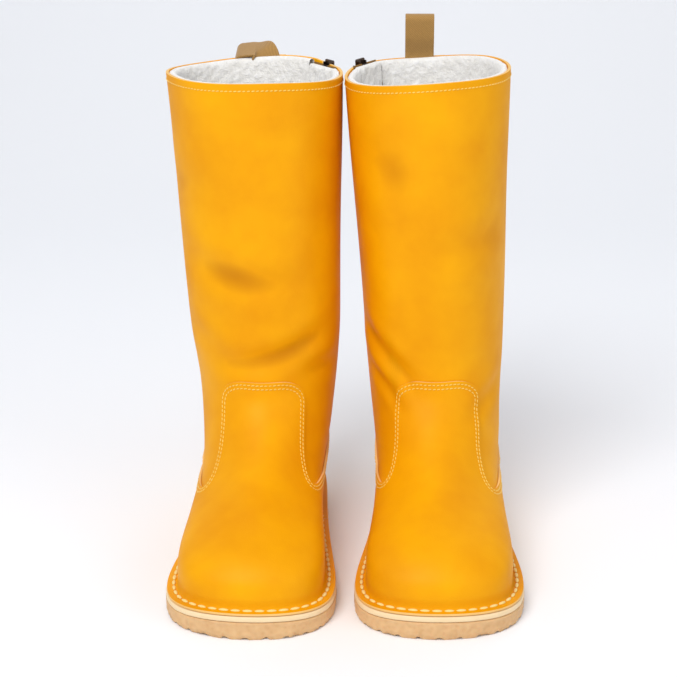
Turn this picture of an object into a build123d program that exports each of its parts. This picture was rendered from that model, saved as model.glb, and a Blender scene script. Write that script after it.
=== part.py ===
"""A pair of tall stitch-down leather boots with fleece lining, crepe wedge soles and inner side zips.

Each boot is modelled in its own frame: toe towards -Y, inner (medial) side towards -X, floor at Z = 0.
The left boot is used as it is; the right boot is mirrored. Both are then set side by side.
Millimetres throughout.
"""

from math import cos, hypot, pi, radians, sin
import os

from build123d import *

# Sole layers, from the floor up
OUTSOLE = 9.0  # crepe rubber
WEDGE_RISE = 8.0  # crepe heel wedge, at the very back
MIDSOLE = 4.0
INSOLE_BOARD = 2.5
FOOTBED = 5.0
WEDGE_START_Y = -20.0
TOE_SPRING = 3.0
TOE_SPRING_Y = -90.0
SOLE_REACH = 145.0  # half the length that the side profiles cover
GROOVE_PITCH = 9.0
GROOVE_WIDTH = 3.0
GROOVE_DEPTH = 1.4

# Sole outline: toe, heel, then half widths at the ball, the waist and the heel
SOLE_SHAPE = (-134.0, 134.0, 55.3, 47.5, 40.0, 0.03)
FLANGE = 2.0  # thickness of the leather turned out over the midsole
FLANGE_SETBACK = 0.8  # from the sole's edge
STITCH_SETBACK = 5.0
STITCH_PITCH = 7.0
STITCH = (5.4, 1.4, 0.9)  # length, width, height
STITCH_LIFT = 0.15  # a straight stitch clears the curved leather at its ends

# Leather and lining, as depths in from the outermost surface
OVERLAY_DEPTH = 1.6  # vamp and heel counter lie over the shaft leather
LEATHER_DEPTH = 3.6
STIFFENER_DEPTH = 4.6
ANCHOR_DEPTH = 6.4
LINING_DEPTH = 8.6
DEPTHS = {
    "overlay": OVERLAY_DEPTH,
    "leather": LEATHER_DEPTH,
    "stiffener": STIFFENER_DEPTH,
    "anchor": ANCHOR_DEPTH,
    "lining": LINING_DEPTH,
}
STIFFENER_Y = 62.0  # the heel stiffener lies behind this, up to its top
STIFFENER_TOP = 66.0
PUFF_Y = -82.0  # the toe puff lies in front of this
PUFF_TOP = 50.0

# Upper: height, toe, heel, half widths at a quarter, half and three quarters of the length, squareness
FOOT_SECTIONS = [
    (0.0, -124.0, 124.0, 45.0, 37.0, 30.5, 0.03),
    (14.0, -126.5, 125.0, 46.5, 38.5, 32.0, 0.03),
    (26.0, -128.0, 127.0, 47.5, 40.0, 33.5, 0.03),
    (38.0, -123.0, 128.5, 46.5, 41.2, 35.0, 0.03),
    (48.0, -110.0, 128.5, 42.5, 42.2, 36.0, 0.02),
    (57.0, -91.0, 127.5, 37.5, 43.0, 36.8, 0.01),
    (68.0, -64.0, 125.5, 35.5, 44.3, 37.8, 0.0),
    (80.0, -42.0, 122.5, 35.8, 45.5, 38.6, 0.0),
    (95.0, -22.0, 120.0, 37.5, 46.6, 39.6, 0.0),
    (112.0, -8.0, 118.5, 40.0, 47.8, 40.8, 0.0),
    (130.0, -4.5, 118.0, 42.0, 49.0, 42.0, 0.0),
]
SHAFT_FOOT_Z = 150.0  # above this the shaft is a straight-sided oval
BLEND_LEVELS = (150.0, 175.0, 200.0)  # shaft sections that the foot's form is drawn through
FORM_TOP_Z = 335.0
SHAFT_FOOT = (56.8, 61.2, 50.0)  # centre in Y, half depth, half width before the boot's own easing
EASING = (68.0, 82.0)  # a worn-in leg widens from this height, over this rise, by the boot's own share
RIM_Z = 324.0
LEAN_START_Z = 80.0
SWING = -2.0  # toe and heel lie inward of the waist by this much
POINTS = 20  # around a section

# Seams
COUNTER_Y = 18.0  # vamp ends, heel counter begins
TONGUE_HALF = 29.0
TONGUE_TOP_Z = 125.0
TONGUE_FLARE = (16.0, 24.0)  # where the tongue's edge turns out to the sides: across, up
TONGUE_CORNER = 19.0
VAMP_SIDE_Z = 57.0
SEAM_LAP = 9.0
COUNTER_TOP = ((60.0, 68.0), (150.0, 86.0))  # the counter's top edge, as Y and Z at its two ends
REGION_HALF = 80.0  # half width and half length of the blocks that cut the forms
REGION_REACH = 170.0
LINING_SPLIT_Z = 112.0
BACK_STRIP_HALF = 11.0
STRIP_FOOT_Z = 60.0
BACK_Y = 70.0  # what belongs to the back of the leg lies behind this

# Zip, in its own frame: across it, up along it, and out of the leather, whose outer face is at 0
ZIP_ANGLE = radians(125)  # around the section, from the toe
ZIP_FOOT_Z = 104.0
ZIP_HALF = 15.0  # half width of the gap in the lining
ZIP_SLOT = 4.6  # half width of the gap between the facings
ZIP_UNDERLAP = -3.0  # tapes and guard start this far below the zip's foot
SLOT_START = -2.6  # the gap starts this far below the zip's foot, to take the bottom stop
ZIP_CHORD = 1.95  # the flat placket lies this far inside the curved leather
TAPE = (-2.8, -2.0)
GUARD = (-7.6, -2.8)
GUARD_HALF = 14.4
GUARD_SHORT = 1.0  # the guard ends this far below the rim
TOOTH = (-2.8, -0.9)
TOOTH_EDGES = (-0.8, 3.4)  # from past the centre, where the two rows mesh, to the tape
TOOTH_LENGTH = 1.1
TOOTH_PITCH = 2.8
TOOTH_TOP_GAP = 8.0
SLIDER_LENGTH = 13.0
SLIDER_HALF = 5.2  # half width at the top, and at the bottom
SLIDER_WAIST = 4.5
SLIDER_TOP = (0.4, 1.6)
SLIDER_RIM = (3.7, 4.3)  # the rims that run between the teeth and the facings
SLIDER_RIM_BOTTOM = -1.6
SLIDER_FROM_RIM = 3.5
LUG_PLACE = 3.1
LUG_WIDTH = 0.9
LUG_LENGTH = 4.0
PIVOT_OUT = 3.5
PIN_RADIUS = 0.7
PIN_PLAY = 0.1
BARREL_RADIUS = 1.5
BARREL_HALF = 2.3
PULL_LENGTH = 17.0
PULL_HALF = 3.3
PULL_THICK = 1.2
PULL_HOLE = 1.6

# Pull loop
LOOP_HALF = 10.0
LOOP_THICK = 1.4
LOOP_RISE = 30.0
LOOP_BEND = 3.6  # inner radius at the loop's top, and where its two legs meet
LOOP_PINCH = 0.4
LOOP_ANCHOR = 15.0  # sewn in below the rim
FLOP_STEM = 4.0  # the loop that has flopped over: its stem, tilt, bend, reach and width
FLOP_TILT = 8.0
FLOP_BEND = 4.6
FLOP_REACH = 14.0
FLOP_WIDTH = 16.0

# The two boots: side, stance in X, toe-out angle, rim half width and depth, share by which the ankle is
# eased, lean of the rim, and the pull loop's place and state
BOOTS = {
    "left": dict(
        side=1,
        stance=62.0,
        toe_out=-1.2,
        rim=(57.0, 65.0),
        eased=0.0,
        lean=-9.5,
        loop_x=-12.5,
        flopped=False,
    ),
    "right": dict(
        side=-1,
        stance=55.6,
        toe_out=3.25,
        rim=(60.9, 61.5),
        eased=0.065,
        lean=7.5,
        loop_x=6.5,
        flopped=True,
    ),
}
CENTRING = (1.69, 0.0)  # brings the box of the pair to the origin


def outline(shape, inset=0.0, centre=0.0, front_slope=0.0, points=POINTS):
    """Points around a foot-shaped or oval outline, toe first, by a short harmonic series."""
    toe, heel, ball, waist, rear, square = shape
    toe += inset * hypot(1, front_slope)
    heel -= inset
    ball, waist, rear = ball - inset, waist - inset, rear - inset
    middle, half = (toe + heel) / 2, (heel - toe) / 2
    spread = (ball + rear) / (2 * sin(pi / 3))
    taper = (ball - rear) / sin(pi / 3)
    pinch = 2 * (spread - waist)
    result = []
    for k in range(points):
        a = 2 * pi * k / points
        width = 2 * spread - waist + taper * cos(a) + pinch * cos(2 * a)
        x = centre + SWING * cos(2 * a) * min(1.0, half / 120) - sin(a) * width
        y = middle - half * ((1 + square) * cos(a) - square * cos(3 * a))
        result.append((x, y))
    return result


def shaft_shape(boot, z):
    """The oval of the straight part of the shaft at height z."""
    share = (z - SHAFT_FOOT_Z) / (RIM_Z - SHAFT_FOOT_Z)
    middle, depth, width = SHAFT_FOOT
    width *= 1 + boot["eased"]
    depth += share * (boot["rim"][1] - depth)
    width += share * (boot["rim"][0] - width)
    side = width * sin(pi / 3)
    return (middle - depth, middle + depth, side, width, side, 0.0)


def foot_shape(boot, z, shape):
    """A section of the foot and ankle, with the ankle as wide as this boot's is."""
    start, rise = EASING
    factor = 1 + boot["eased"] * min(1.0, max(0.0, z - start) / rise)
    toe, heel, ball, waist, rear, square = shape
    return (toe, heel, ball * factor, waist * factor, rear * factor, square)


def shaft_centre(boot, z):
    return boot["lean"] * max(0.0, z - LEAN_START_Z) / (RIM_Z - LEAN_START_Z)


def last(boot, inset):
    """The boot's solid form, floor to above the rim, with its surface moved in by inset."""
    levels = [(z, foot_shape(boot, z, shape)) for z, *shape in FOOT_SECTIONS]
    levels += [(z, shaft_shape(boot, z)) for z in BLEND_LEVELS]
    with BuildPart() as foot:
        for i, (z, shape) in enumerate(levels):
            below, above = levels[max(i - 1, 0)], levels[min(i + 1, len(levels) - 1)]
            slope = (above[1][0] - below[1][0]) / (above[0] - below[0]) if z < SHAFT_FOOT_Z else 0.0
            with BuildSketch(Plane.XY.offset(z)):
                with BuildLine():
                    Spline(*outline(shape, inset, shaft_centre(boot, z), slope), periodic=True)
                make_face()
        loft()
        split(bisect_by=Plane.XY.offset(SHAFT_FOOT_Z), keep=Keep.BOTTOM)
    with BuildPart() as form:
        for z in (SHAFT_FOOT_Z, FORM_TOP_Z):
            with BuildSketch(Plane.XY.offset(z)):
                with BuildLine():
                    Spline(*outline(shaft_shape(boot, z), inset, shaft_centre(boot, z)), periodic=True)
                make_face()
        loft(ruled=True)
        add(foot.part)
    return form.part


def sole_line(height, ramp):
    """The chain of lines, in side view, of a sole surface: toe spring, flat, then the wedge's slope."""
    rise = ramp * (SOLE_REACH - WEDGE_START_Y) / (SOLE_SHAPE[1] - WEDGE_START_Y)
    reach = (SOLE_REACH + TOE_SPRING_Y) / (-SOLE_SHAPE[0] + TOE_SPRING_Y)
    toe = (-SOLE_REACH, height + TOE_SPRING * reach**2)
    arc = TangentArc((TOE_SPRING_Y, height), toe, tangent=(-1, 0))
    flat = Line((TOE_SPRING_Y, height), (WEDGE_START_Y, height))
    slope = Line((WEDGE_START_Y, height), (SOLE_REACH, height + rise))
    return arc @ 1, slope @ 1


def layer(bottom, top):
    """A slab as wide as needed between two sole surfaces, each a (height, ramp) pair."""
    with BuildPart() as slab:
        with BuildSketch(Plane.YZ):
            with BuildLine():
                low = sole_line(*bottom)
                high = sole_line(*top)
                Line(low[0], high[0])
                Line(low[1], high[1])
            make_face()
        extrude(amount=90, both=True)
    return slab.part


SOLE_TOP = (OUTSOLE + MIDSOLE, WEDGE_RISE)


def above_sole(height):
    """The height of the surface that lies height over the midsole."""
    return (SOLE_TOP[0] + height, SOLE_TOP[1])


def sole_block(setback=0.0):
    """The sole outline as an upright block."""
    with BuildPart() as block:
        with BuildSketch():
            with BuildLine():
                Spline(*outline(SOLE_SHAPE, setback), periodic=True)
            make_face()
        extrude(amount=60)
    return block.part


def outsole():
    with BuildPart() as sole:
        add(sole_block())
        add(layer((0, 0), (OUTSOLE, 0)), mode=Mode.INTERSECT)
        count = int(2 * SOLE_REACH / GROOVE_PITCH)
        with Locations(*[(0, -SOLE_REACH + GROOVE_PITCH * k, 0) for k in range(5, count)]):
            Box(200, GROOVE_WIDTH, 2 * GROOVE_DEPTH, mode=Mode.SUBTRACT)
    return sole.part


def heel_wedge():
    with BuildPart() as wedge:
        add(sole_block(0.4))
        with BuildSketch(Plane.YZ):
            with BuildLine():
                rise = WEDGE_RISE * (SOLE_REACH - WEDGE_START_Y) / (SOLE_SHAPE[1] - WEDGE_START_Y)
                Polyline(
                    (WEDGE_START_Y, OUTSOLE), (SOLE_REACH, OUTSOLE), (SOLE_REACH, OUTSOLE + rise), close=True
                )
            make_face()
        extrude(amount=90, both=True, mode=Mode.INTERSECT)
    return wedge.part


def midsole():
    with BuildPart() as mid:
        add(sole_block())
        add(layer((OUTSOLE, WEDGE_RISE), SOLE_TOP), mode=Mode.INTERSECT)
    return mid.part


def insole_board(forms):
    with BuildPart() as board:
        add(forms["leather"])
        add(layer(SOLE_TOP, above_sole(INSOLE_BOARD)), mode=Mode.INTERSECT)
    return board.part


def footbed(forms):
    with BuildPart() as bed:
        add(forms["lining"])
        add(layer(above_sole(INSOLE_BOARD), above_sole(INSOLE_BOARD + FOOTBED)), mode=Mode.INTERSECT)
    return bed.part


def vamp_region(margin=0.0):
    """Everything in front of the counter seam that the vamp covers, drawn in by margin at its top edge."""
    half, side_z, top = TONGUE_HALF - margin, VAMP_SIDE_Z - margin, TONGUE_TOP_Z - margin
    with BuildPart() as region:
        with BuildSketch(Plane.XZ.offset(-COUNTER_Y)):
            with BuildLine():
                Polyline(
                    (0, 0),
                    (-REGION_HALF, 0),
                    (-REGION_HALF, side_z),
                    (-half - TONGUE_FLARE[0], side_z),
                    (-half, side_z + TONGUE_FLARE[1]),
                    (-half, top),
                    (0, top),
                )
                mirror(about=Plane.YZ)
            make_face()
            bends = vertices().filter_by_position(Axis.Y, side_z - 1, top + 1)
            fillet(bends.filter_by(lambda v: 1 < abs(v.X) < REGION_HALF - 1), TONGUE_CORNER)
        extrude(amount=200)
    return region.part


def counter_region(margin=0.0):
    """Everything behind the counter seam that the heel counter covers, drawn in by margin at its top."""
    (front_y, front_z), (back_y, back_z) = COUNTER_TOP
    with BuildPart() as region:
        with BuildSketch(Plane.YZ):
            with BuildLine():
                Polyline(
                    (COUNTER_Y, 0),
                    (COUNTER_Y, VAMP_SIDE_Z - margin),
                    (front_y, front_z - margin),
                    (back_y, back_z - margin),
                    (back_y, 0),
                    close=True,
                )
            make_face()
        extrude(amount=REGION_HALF, both=True)
    return region.part


def span(low, high, y=(-REGION_REACH, REGION_REACH), x=(-REGION_HALF, REGION_HALF)):
    """A plain block between two heights, and between limits in Y and X."""
    with BuildPart() as block:
        with Locations(((x[0] + x[1]) / 2, (y[0] + y[1]) / 2, (low + high) / 2)):
            Box(x[1] - x[0], y[1] - y[0], high - low)
    return block.part


def back_band(boot, left, right, low, high):
    """A block behind the boot, between two offsets from the line that the back seam follows up the leg."""
    lean = boot["loop_x"] / (RIM_Z - LEAN_START_Z)
    with BuildPart() as band:
        with BuildSketch(Plane.XZ):
            with BuildLine():
                Polyline(
                    (left + lean * (low - LEAN_START_Z), low),
                    (right + lean * (low - LEAN_START_Z), low),
                    (right + lean * (high - LEAN_START_Z), high),
                    (left + lean * (high - LEAN_START_Z), high),
                    close=True,
                )
            make_face()
        extrude(amount=-REGION_REACH)
        split(bisect_by=Plane.XZ.offset(-BACK_Y), keep=Keep.BOTTOM)
    return band.part


def zip_plane(boot):
    """The placket's plane: X across the zip, Y up along it, Z out of the leather, from the zip's foot."""
    points = []
    for z in (SHAFT_FOOT_Z, RIM_Z):
        toe, heel, side = shaft_shape(boot, z)[:3]
        half, width = (heel - toe) / 2 - OVERLAY_DEPTH, side / sin(pi / 3) - OVERLAY_DEPTH
        x = shaft_centre(boot, z) + SWING * cos(2 * ZIP_ANGLE) / 2 - sin(ZIP_ANGLE) * width
        points.append(Vector(x, (toe + heel) / 2 - half * cos(ZIP_ANGLE), z))
    along = (points[1] - points[0]).normalized()
    around = Vector(-width * cos(ZIP_ANGLE), half * sin(ZIP_ANGLE), 0)
    out = around.cross(along).normalized()
    if out.X > 0:
        out = out * -1
    across = along.cross(out)
    foot = points[0] + along * ((ZIP_FOOT_Z - SHAFT_FOOT_Z) / along.Z) - out * ZIP_CHORD
    return Plane(origin=foot, x_dir=across, z_dir=out)


def zip_length(plane):
    """From the zip's foot to the rim, measured along the zip."""
    return (RIM_Z - plane.origin.Z) / plane.y_dir.Z


def zip_block(plane, across, along, out):
    """A block in the zip's own frame, from three pairs of limits."""
    with BuildPart() as block:
        with BuildSketch(plane.offset(out[0])):
            with Locations(((across[0] + across[1]) / 2, (along[0] + along[1]) / 2)):
                Rectangle(across[1] - across[0], along[1] - along[0])
        extrude(amount=out[1] - out[0])
    return block.part


def make_forms(boot):
    """The solid forms at each depth, those under the overlays with the flat for the zip cut into them."""
    plane = zip_plane(boot)
    forms = {"outer": last(boot, 0.0)}
    for name, depth in DEPTHS.items():
        with BuildPart() as form:
            add(last(boot, depth))
            add(zip_block(plane, (-40, 40), (-4, 400), (OVERLAY_DEPTH - depth, 40)), mode=Mode.SUBTRACT)
        forms[name] = form.part
    return forms


def upper_leather(boot, forms):
    """Vamp, heel counter, back strip and the two shaft panels."""
    pieces = {}
    with BuildPart() as core:
        add(forms["overlay"])
        add(vamp_region(SEAM_LAP), mode=Mode.SUBTRACT)
        add(counter_region(SEAM_LAP), mode=Mode.SUBTRACT)
        add(span(RIM_Z, RIM_Z + 60), mode=Mode.SUBTRACT)
    with BuildPart() as flange:
        add(sole_block(FLANGE_SETBACK))
        add(layer(SOLE_TOP, above_sole(FLANGE)), mode=Mode.INTERSECT)
    for name, region in (("vamp", vamp_region()), ("heel_counter", counter_region())):
        with BuildPart() as piece:
            add(forms["outer"])
            add(flange.part)
            add(region, mode=Mode.INTERSECT)
            add(layer((-50, 0), SOLE_TOP), mode=Mode.SUBTRACT)
            add(core.part, mode=Mode.SUBTRACT)
            add(forms["leather"], mode=Mode.SUBTRACT)
        pieces[name] = piece.part
    with BuildPart() as strip:
        add(forms["outer"])
        add(back_band(boot, -BACK_STRIP_HALF, BACK_STRIP_HALF, STRIP_FOOT_Z, RIM_Z), mode=Mode.INTERSECT)
        add(counter_region(), mode=Mode.SUBTRACT)
        add(forms["overlay"], mode=Mode.SUBTRACT)
    pieces["back_strip"] = strip.part
    return pieces, core.part


def shaft_panels(boot, forms, plane, core):
    """The shaft's leather, parted by the zip's slot and by the seam up the back."""
    slot = zip_block(plane, (-ZIP_SLOT, ZIP_SLOT), (SLOT_START, 400), (-30, 30))
    behind = zip_block(plane, (-200, 0), (-200, 400), (-200, 200))
    pieces = {}
    with BuildPart() as inner_back:
        add(back_band(boot, -2 * REGION_HALF, 0, 0, FORM_TOP_Z))
        add(behind, mode=Mode.INTERSECT)
    for name, mode in (("shaft_front", Mode.SUBTRACT), ("shaft_back", Mode.INTERSECT)):
        with BuildPart() as panel:
            add(core)
            add(forms["leather"], mode=Mode.SUBTRACT)
            add(slot, mode=Mode.SUBTRACT)
            add(inner_back.part, mode=mode)
        pieces[name] = panel.part
    return pieces


def stiffeners(forms):
    """The heel stiffener and the toe puff, each between the leather and the lining."""
    pieces = {}
    zones = {
        "heel_stiffener": span(0, STIFFENER_TOP, y=(STIFFENER_Y, REGION_REACH)),
        "toe_puff": span(0, PUFF_TOP, y=(-REGION_REACH, PUFF_Y)),
    }
    for name, zone in zones.items():
        with BuildPart() as piece:
            add(forms["leather"])
            add(zone, mode=Mode.INTERSECT)
            add(layer((-50, 0), above_sole(INSOLE_BOARD)), mode=Mode.SUBTRACT)
            add(forms["stiffener"], mode=Mode.SUBTRACT)
        pieces[name] = piece.part
    return pieces


def linings(boot, forms, plane, stiffening):
    """The fleece inside the foot, and the fleece inside the shaft with its slot behind the zip."""
    pieces = {}
    with BuildPart() as foot:
        add(forms["leather"])
        add(span(0, LINING_SPLIT_Z), mode=Mode.INTERSECT)
        add(layer((-50, 0), above_sole(INSOLE_BOARD)), mode=Mode.SUBTRACT)
        add(forms["lining"], mode=Mode.SUBTRACT)
        for piece in stiffening:
            add(piece, mode=Mode.SUBTRACT)
        add(zip_block(plane, (-ZIP_HALF, ZIP_HALF), (-4, 400), (-30, 30)), mode=Mode.SUBTRACT)
    pieces["foot_lining"] = foot.part
    with BuildPart() as shaft:
        add(forms["leather"])
        add(span(LINING_SPLIT_Z, RIM_Z), mode=Mode.INTERSECT)
        add(forms["lining"], mode=Mode.SUBTRACT)
        add(loop_zone(boot), mode=Mode.SUBTRACT)
        add(zip_block(plane, (-ZIP_HALF, ZIP_HALF), (-4, 400), (-30, 30)), mode=Mode.SUBTRACT)
    pieces["shaft_lining"] = shaft.part
    return pieces


def loop_zone(boot):
    x = boot["loop_x"]
    return span(RIM_Z - LOOP_ANCHOR, RIM_Z, y=(BACK_Y, REGION_REACH), x=(x - LOOP_HALF, x + LOOP_HALF))


def within(form, block):
    """The part of a block that lies inside a form."""
    with BuildPart() as inside:
        add(block)
        add(form, mode=Mode.INTERSECT)
    return inside.part


def zip_parts(plane, forms):
    """What is sewn into the placket and stays put: tapes, teeth, stops and the guard behind them."""
    length = zip_length(plane)
    inner, outer = TOOTH_EDGES
    guard = zip_block(plane, (-GUARD_HALF, GUARD_HALF), (ZIP_UNDERLAP, length - GUARD_SHORT), GUARD)
    pieces = {"zip_guard": within(forms["leather"], guard)}
    for name, sign, shift in (("front", 1, 0), ("back", -1, TOOTH_PITCH / 2)):
        edges = sorted((sign * outer, sign * GUARD_HALF))
        tape = zip_block(plane, edges, (ZIP_UNDERLAP, length), TAPE)
        pieces[f"zip_tape_{name}"] = within(forms["leather"], tape)
        count = int((length - TOOTH_TOP_GAP) / TOOTH_PITCH)
        places = [(sign * (inner + outer) / 2, TOOTH_PITCH * (k + 1.2) + shift) for k in range(count)]
        with BuildPart() as teeth:
            with BuildSketch(plane.offset(TOOTH[0])):
                with Locations(*places):
                    Rectangle(outer - inner, TOOTH_LENGTH)
            extrude(amount=TOOTH[1] - TOOTH[0])
        pieces[f"zip_teeth_{name}"] = teeth.part
    stop_places = [(0, 0), (2.2, length - 2), (-2.2, length - 2)]
    with BuildPart() as stops:
        with BuildSketch(plane.offset(TOOTH[0])):
            with Locations(stop_places[0]):
                RectangleRounded(2 * outer, 4, 0.8)
            with Locations(*stop_places[1:]):
                RectangleRounded(2.4, 3, 0.5)
        extrude(amount=TOOTH[1] - TOOTH[0])
    pieces["zip_stops"] = stops.part
    return pieces


def zip_slider(plane):
    """The slider: a waisted top plate, rims that run outside the teeth, and two lugs with the pull's pin."""
    middle = zip_length(plane) - SLIDER_FROM_RIM
    at_slider = Plane(origin=plane.from_local_coords((0, middle, 0)), x_dir=plane.x_dir, z_dir=plane.z_dir)
    low, high = SLIDER_TOP
    half = SLIDER_LENGTH / 2
    with BuildPart() as slider:
        with BuildSketch(at_slider.offset(low)):
            with BuildLine():
                Polyline(
                    (0, -half),
                    (-SLIDER_WAIST, -half),
                    (-SLIDER_WAIST, -1),
                    (-SLIDER_HALF, 1),
                    (-SLIDER_HALF, half),
                    (0, half),
                )
                mirror(about=Plane.YZ)
            make_face()
            fillet(vertices().filter_by(lambda v: abs(v.X) > 1), 1.2)
        extrude(amount=high - low)
        with BuildSketch(at_slider.offset(SLIDER_RIM_BOTTOM)):
            for sign in (-1, 1):
                with Locations((sign * sum(SLIDER_RIM) / 2, 0)):
                    Rectangle(SLIDER_RIM[1] - SLIDER_RIM[0], SLIDER_LENGTH - 3)
        extrude(amount=low - SLIDER_RIM_BOTTOM)
        with BuildSketch(at_slider.offset(high)):
            for sign in (-1, 1):
                with Locations((sign * LUG_PLACE, 0)):
                    Rectangle(LUG_WIDTH, LUG_LENGTH)
        extrude(amount=PIVOT_OUT + PIN_RADIUS + 0.5 - high)
        with BuildSketch(across_plane(at_slider)):
            Circle(PIN_RADIUS)
        extrude(amount=LUG_PLACE, both=True)
    return slider.part, across_plane(at_slider)


def across_plane(plane):
    """The plane through the pull's pin, square to it: X out of the leather, Y up along the zip."""
    origin = plane.from_local_coords((0, 0, PIVOT_OUT))
    return Plane(origin=origin, x_dir=plane.z_dir, z_dir=plane.y_dir.cross(plane.z_dir) * -1)


def zip_pull(pivot):
    """The pull tab: a barrel on the slider's pin and a plate that hangs down from it."""
    flat = Plane(origin=pivot.origin, x_dir=pivot.z_dir, z_dir=pivot.x_dir)
    down = -1 if flat.y_dir.Z > 0 else 1
    with BuildPart() as pull:
        with BuildSketch(pivot):
            Circle(BARREL_RADIUS)
        extrude(amount=BARREL_HALF, both=True)
        with BuildSketch(flat.offset(-PULL_THICK / 2)):
            with BuildLine():
                Polyline(
                    (0, down),
                    (-BARREL_HALF, down),
                    (-BARREL_HALF, down * 4),
                    (-PULL_HALF, down * 7),
                    (-PULL_HALF, down * PULL_LENGTH),
                    (0, down * PULL_LENGTH),
                )
                mirror(about=Plane.YZ)
            make_face()
            ends = vertices().filter_by(lambda v: abs(v.Y) > PULL_LENGTH - 1 and abs(v.X) > 1)
            fillet(ends, 2.2)
            with Locations((0, down * (PULL_LENGTH - 5))):
                Circle(PULL_HOLE, mode=Mode.SUBTRACT)
        extrude(amount=PULL_THICK)
        with BuildSketch(pivot):
            Circle(PIN_RADIUS + PIN_PLAY)
        extrude(amount=BARREL_HALF + 1, both=True, mode=Mode.SUBTRACT)
    return pull.part


def pull_loop(boot, forms):
    """The webbing loop: two layers sewn in at the back of the rim, and the loop that stands above it."""
    heel = shaft_shape(boot, RIM_Z)[1]
    y = heel - (LEATHER_DEPTH + ANCHOR_DEPTH) / 2
    x = boot["loop_x"]
    with BuildPart() as loop:
        add(forms["leather"])
        add(loop_zone(boot), mode=Mode.INTERSECT)
        add(forms["anchor"], mode=Mode.SUBTRACT)
        if boot["flopped"]:
            with BuildSketch(Plane.XY.offset(RIM_Z)):
                with Locations((x, y)):
                    Rectangle(2 * LOOP_HALF, 2 * LOOP_THICK)
            extrude(amount=FLOP_STEM)
            tilted = Plane(origin=(x, y, RIM_Z + FLOP_STEM - 0.5)).rotated((-FLOP_TILT, 0, 0))
            with BuildSketch(tilted):
                for radius, mode in ((LOOP_THICK, Mode.ADD), (0, Mode.SUBTRACT)):
                    with BuildSketch(mode=Mode.PRIVATE) as ring:
                        with Locations((FLOP_REACH, 0)):
                            Circle(FLOP_BEND + radius)
                        with Locations((-LOOP_HALF + LOOP_THICK + 0.6, 0)):
                            Circle(0.6 + radius)
                        make_hull()
                    add(ring.sketch, mode=mode)
            extrude(amount=FLOP_WIDTH)
        else:
            with BuildSketch(Plane.YZ.offset(x)):
                for radius, mode in ((LOOP_THICK, Mode.ADD), (0, Mode.SUBTRACT)):
                    with BuildSketch(mode=Mode.PRIVATE) as ring:
                        with Locations((y, RIM_Z + LOOP_RISE - LOOP_BEND - LOOP_THICK)):
                            Circle(LOOP_BEND + radius)
                        with Locations((y, RIM_Z + LOOP_THICK + LOOP_PINCH)):
                            Circle(LOOP_PINCH + radius)
                        make_hull()
                    add(ring.sketch, mode=mode)
            extrude(amount=LOOP_HALF, both=True)
    return loop.part


def welt_stitches():
    """The heavy stitches that hold the turned-out leather down on the midsole, all the way round."""
    line = outline(SOLE_SHAPE, STITCH_SETBACK, points=720)
    line.append(line[0])
    lengths = [0.0]
    for (x0, y0), (x1, y1) in zip(line, line[1:]):
        lengths.append(lengths[-1] + hypot(x1 - x0, y1 - y0))
    count = round(lengths[-1] / STITCH_PITCH)
    places = []
    for k in range(count):
        index = min(range(len(lengths) - 1), key=lambda i: abs(lengths[i] - k * lengths[-1] / count))
        (x0, y0), (x1, y1) = line[index], line[index + 1]
        tangent = Vector(x1 - x0, y1 - y0, flange_height(y1) - flange_height(y0))
        side = Vector(tangent.Y, -tangent.X, 0)
        top = tangent.cross(side)
        top = top if top.Z > 0 else top * -1
        places.append(Plane(origin=(x0, y0, flange_height(y0) + STITCH_LIFT), x_dir=tangent, z_dir=top))
    length, width, height = STITCH
    with BuildPart() as stitches:
        for place in places:
            with BuildSketch(place):
                SlotOverall(length, width)
            extrude(amount=height)
    return stitches.part


def flange_height(y):
    """Height of the turned-out leather's upper face at a place along the sole."""
    height, ramp = above_sole(FLANGE)
    if y > WEDGE_START_Y:
        return height + ramp * (y - WEDGE_START_Y) / (SOLE_SHAPE[1] - WEDGE_START_Y)
    if y < TOE_SPRING_Y:
        return height + TOE_SPRING * ((TOE_SPRING_Y - y) / (TOE_SPRING_Y - SOLE_SHAPE[0])) ** 2
    return height


def build_boot(boot):
    """Every piece of one boot, in the boot's own frame, with the zip's plane and the pull's pin."""
    plane = zip_plane(boot)
    forms = make_forms(boot)
    pieces = {"outsole": outsole(), "heel_wedge": heel_wedge(), "midsole": midsole()}
    pieces["insole_board"] = insole_board(forms)
    pieces["footbed"] = footbed(forms)
    leather, core = upper_leather(boot, forms)
    pieces.update(leather)
    pieces.update(shaft_panels(boot, forms, plane, core))
    inner = stiffeners(forms)
    pieces.update(inner)
    pieces.update(linings(boot, forms, plane, inner.values()))
    pieces.update(zip_parts(plane, forms))
    pieces["zip_slider"], pivot = zip_slider(plane)
    pieces["zip_pull"] = zip_pull(pivot)
    pieces["pull_loop"] = pull_loop(boot, forms)
    pieces["welt_stitches"] = welt_stitches()
    return pieces, plane, pivot


def stand(shape, boot):
    """Turn a boot's piece out at the toe and set it at its place beside the other boot."""
    if boot["side"] < 0:
        shape = shape.mirror(Plane.YZ)
    return Pos(boot["side"] * boot["stance"] + CENTRING[0], CENTRING[1], 0) * (
        Rot(0, 0, boot["side"] * boot["toe_out"]) * shape
    )


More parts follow.
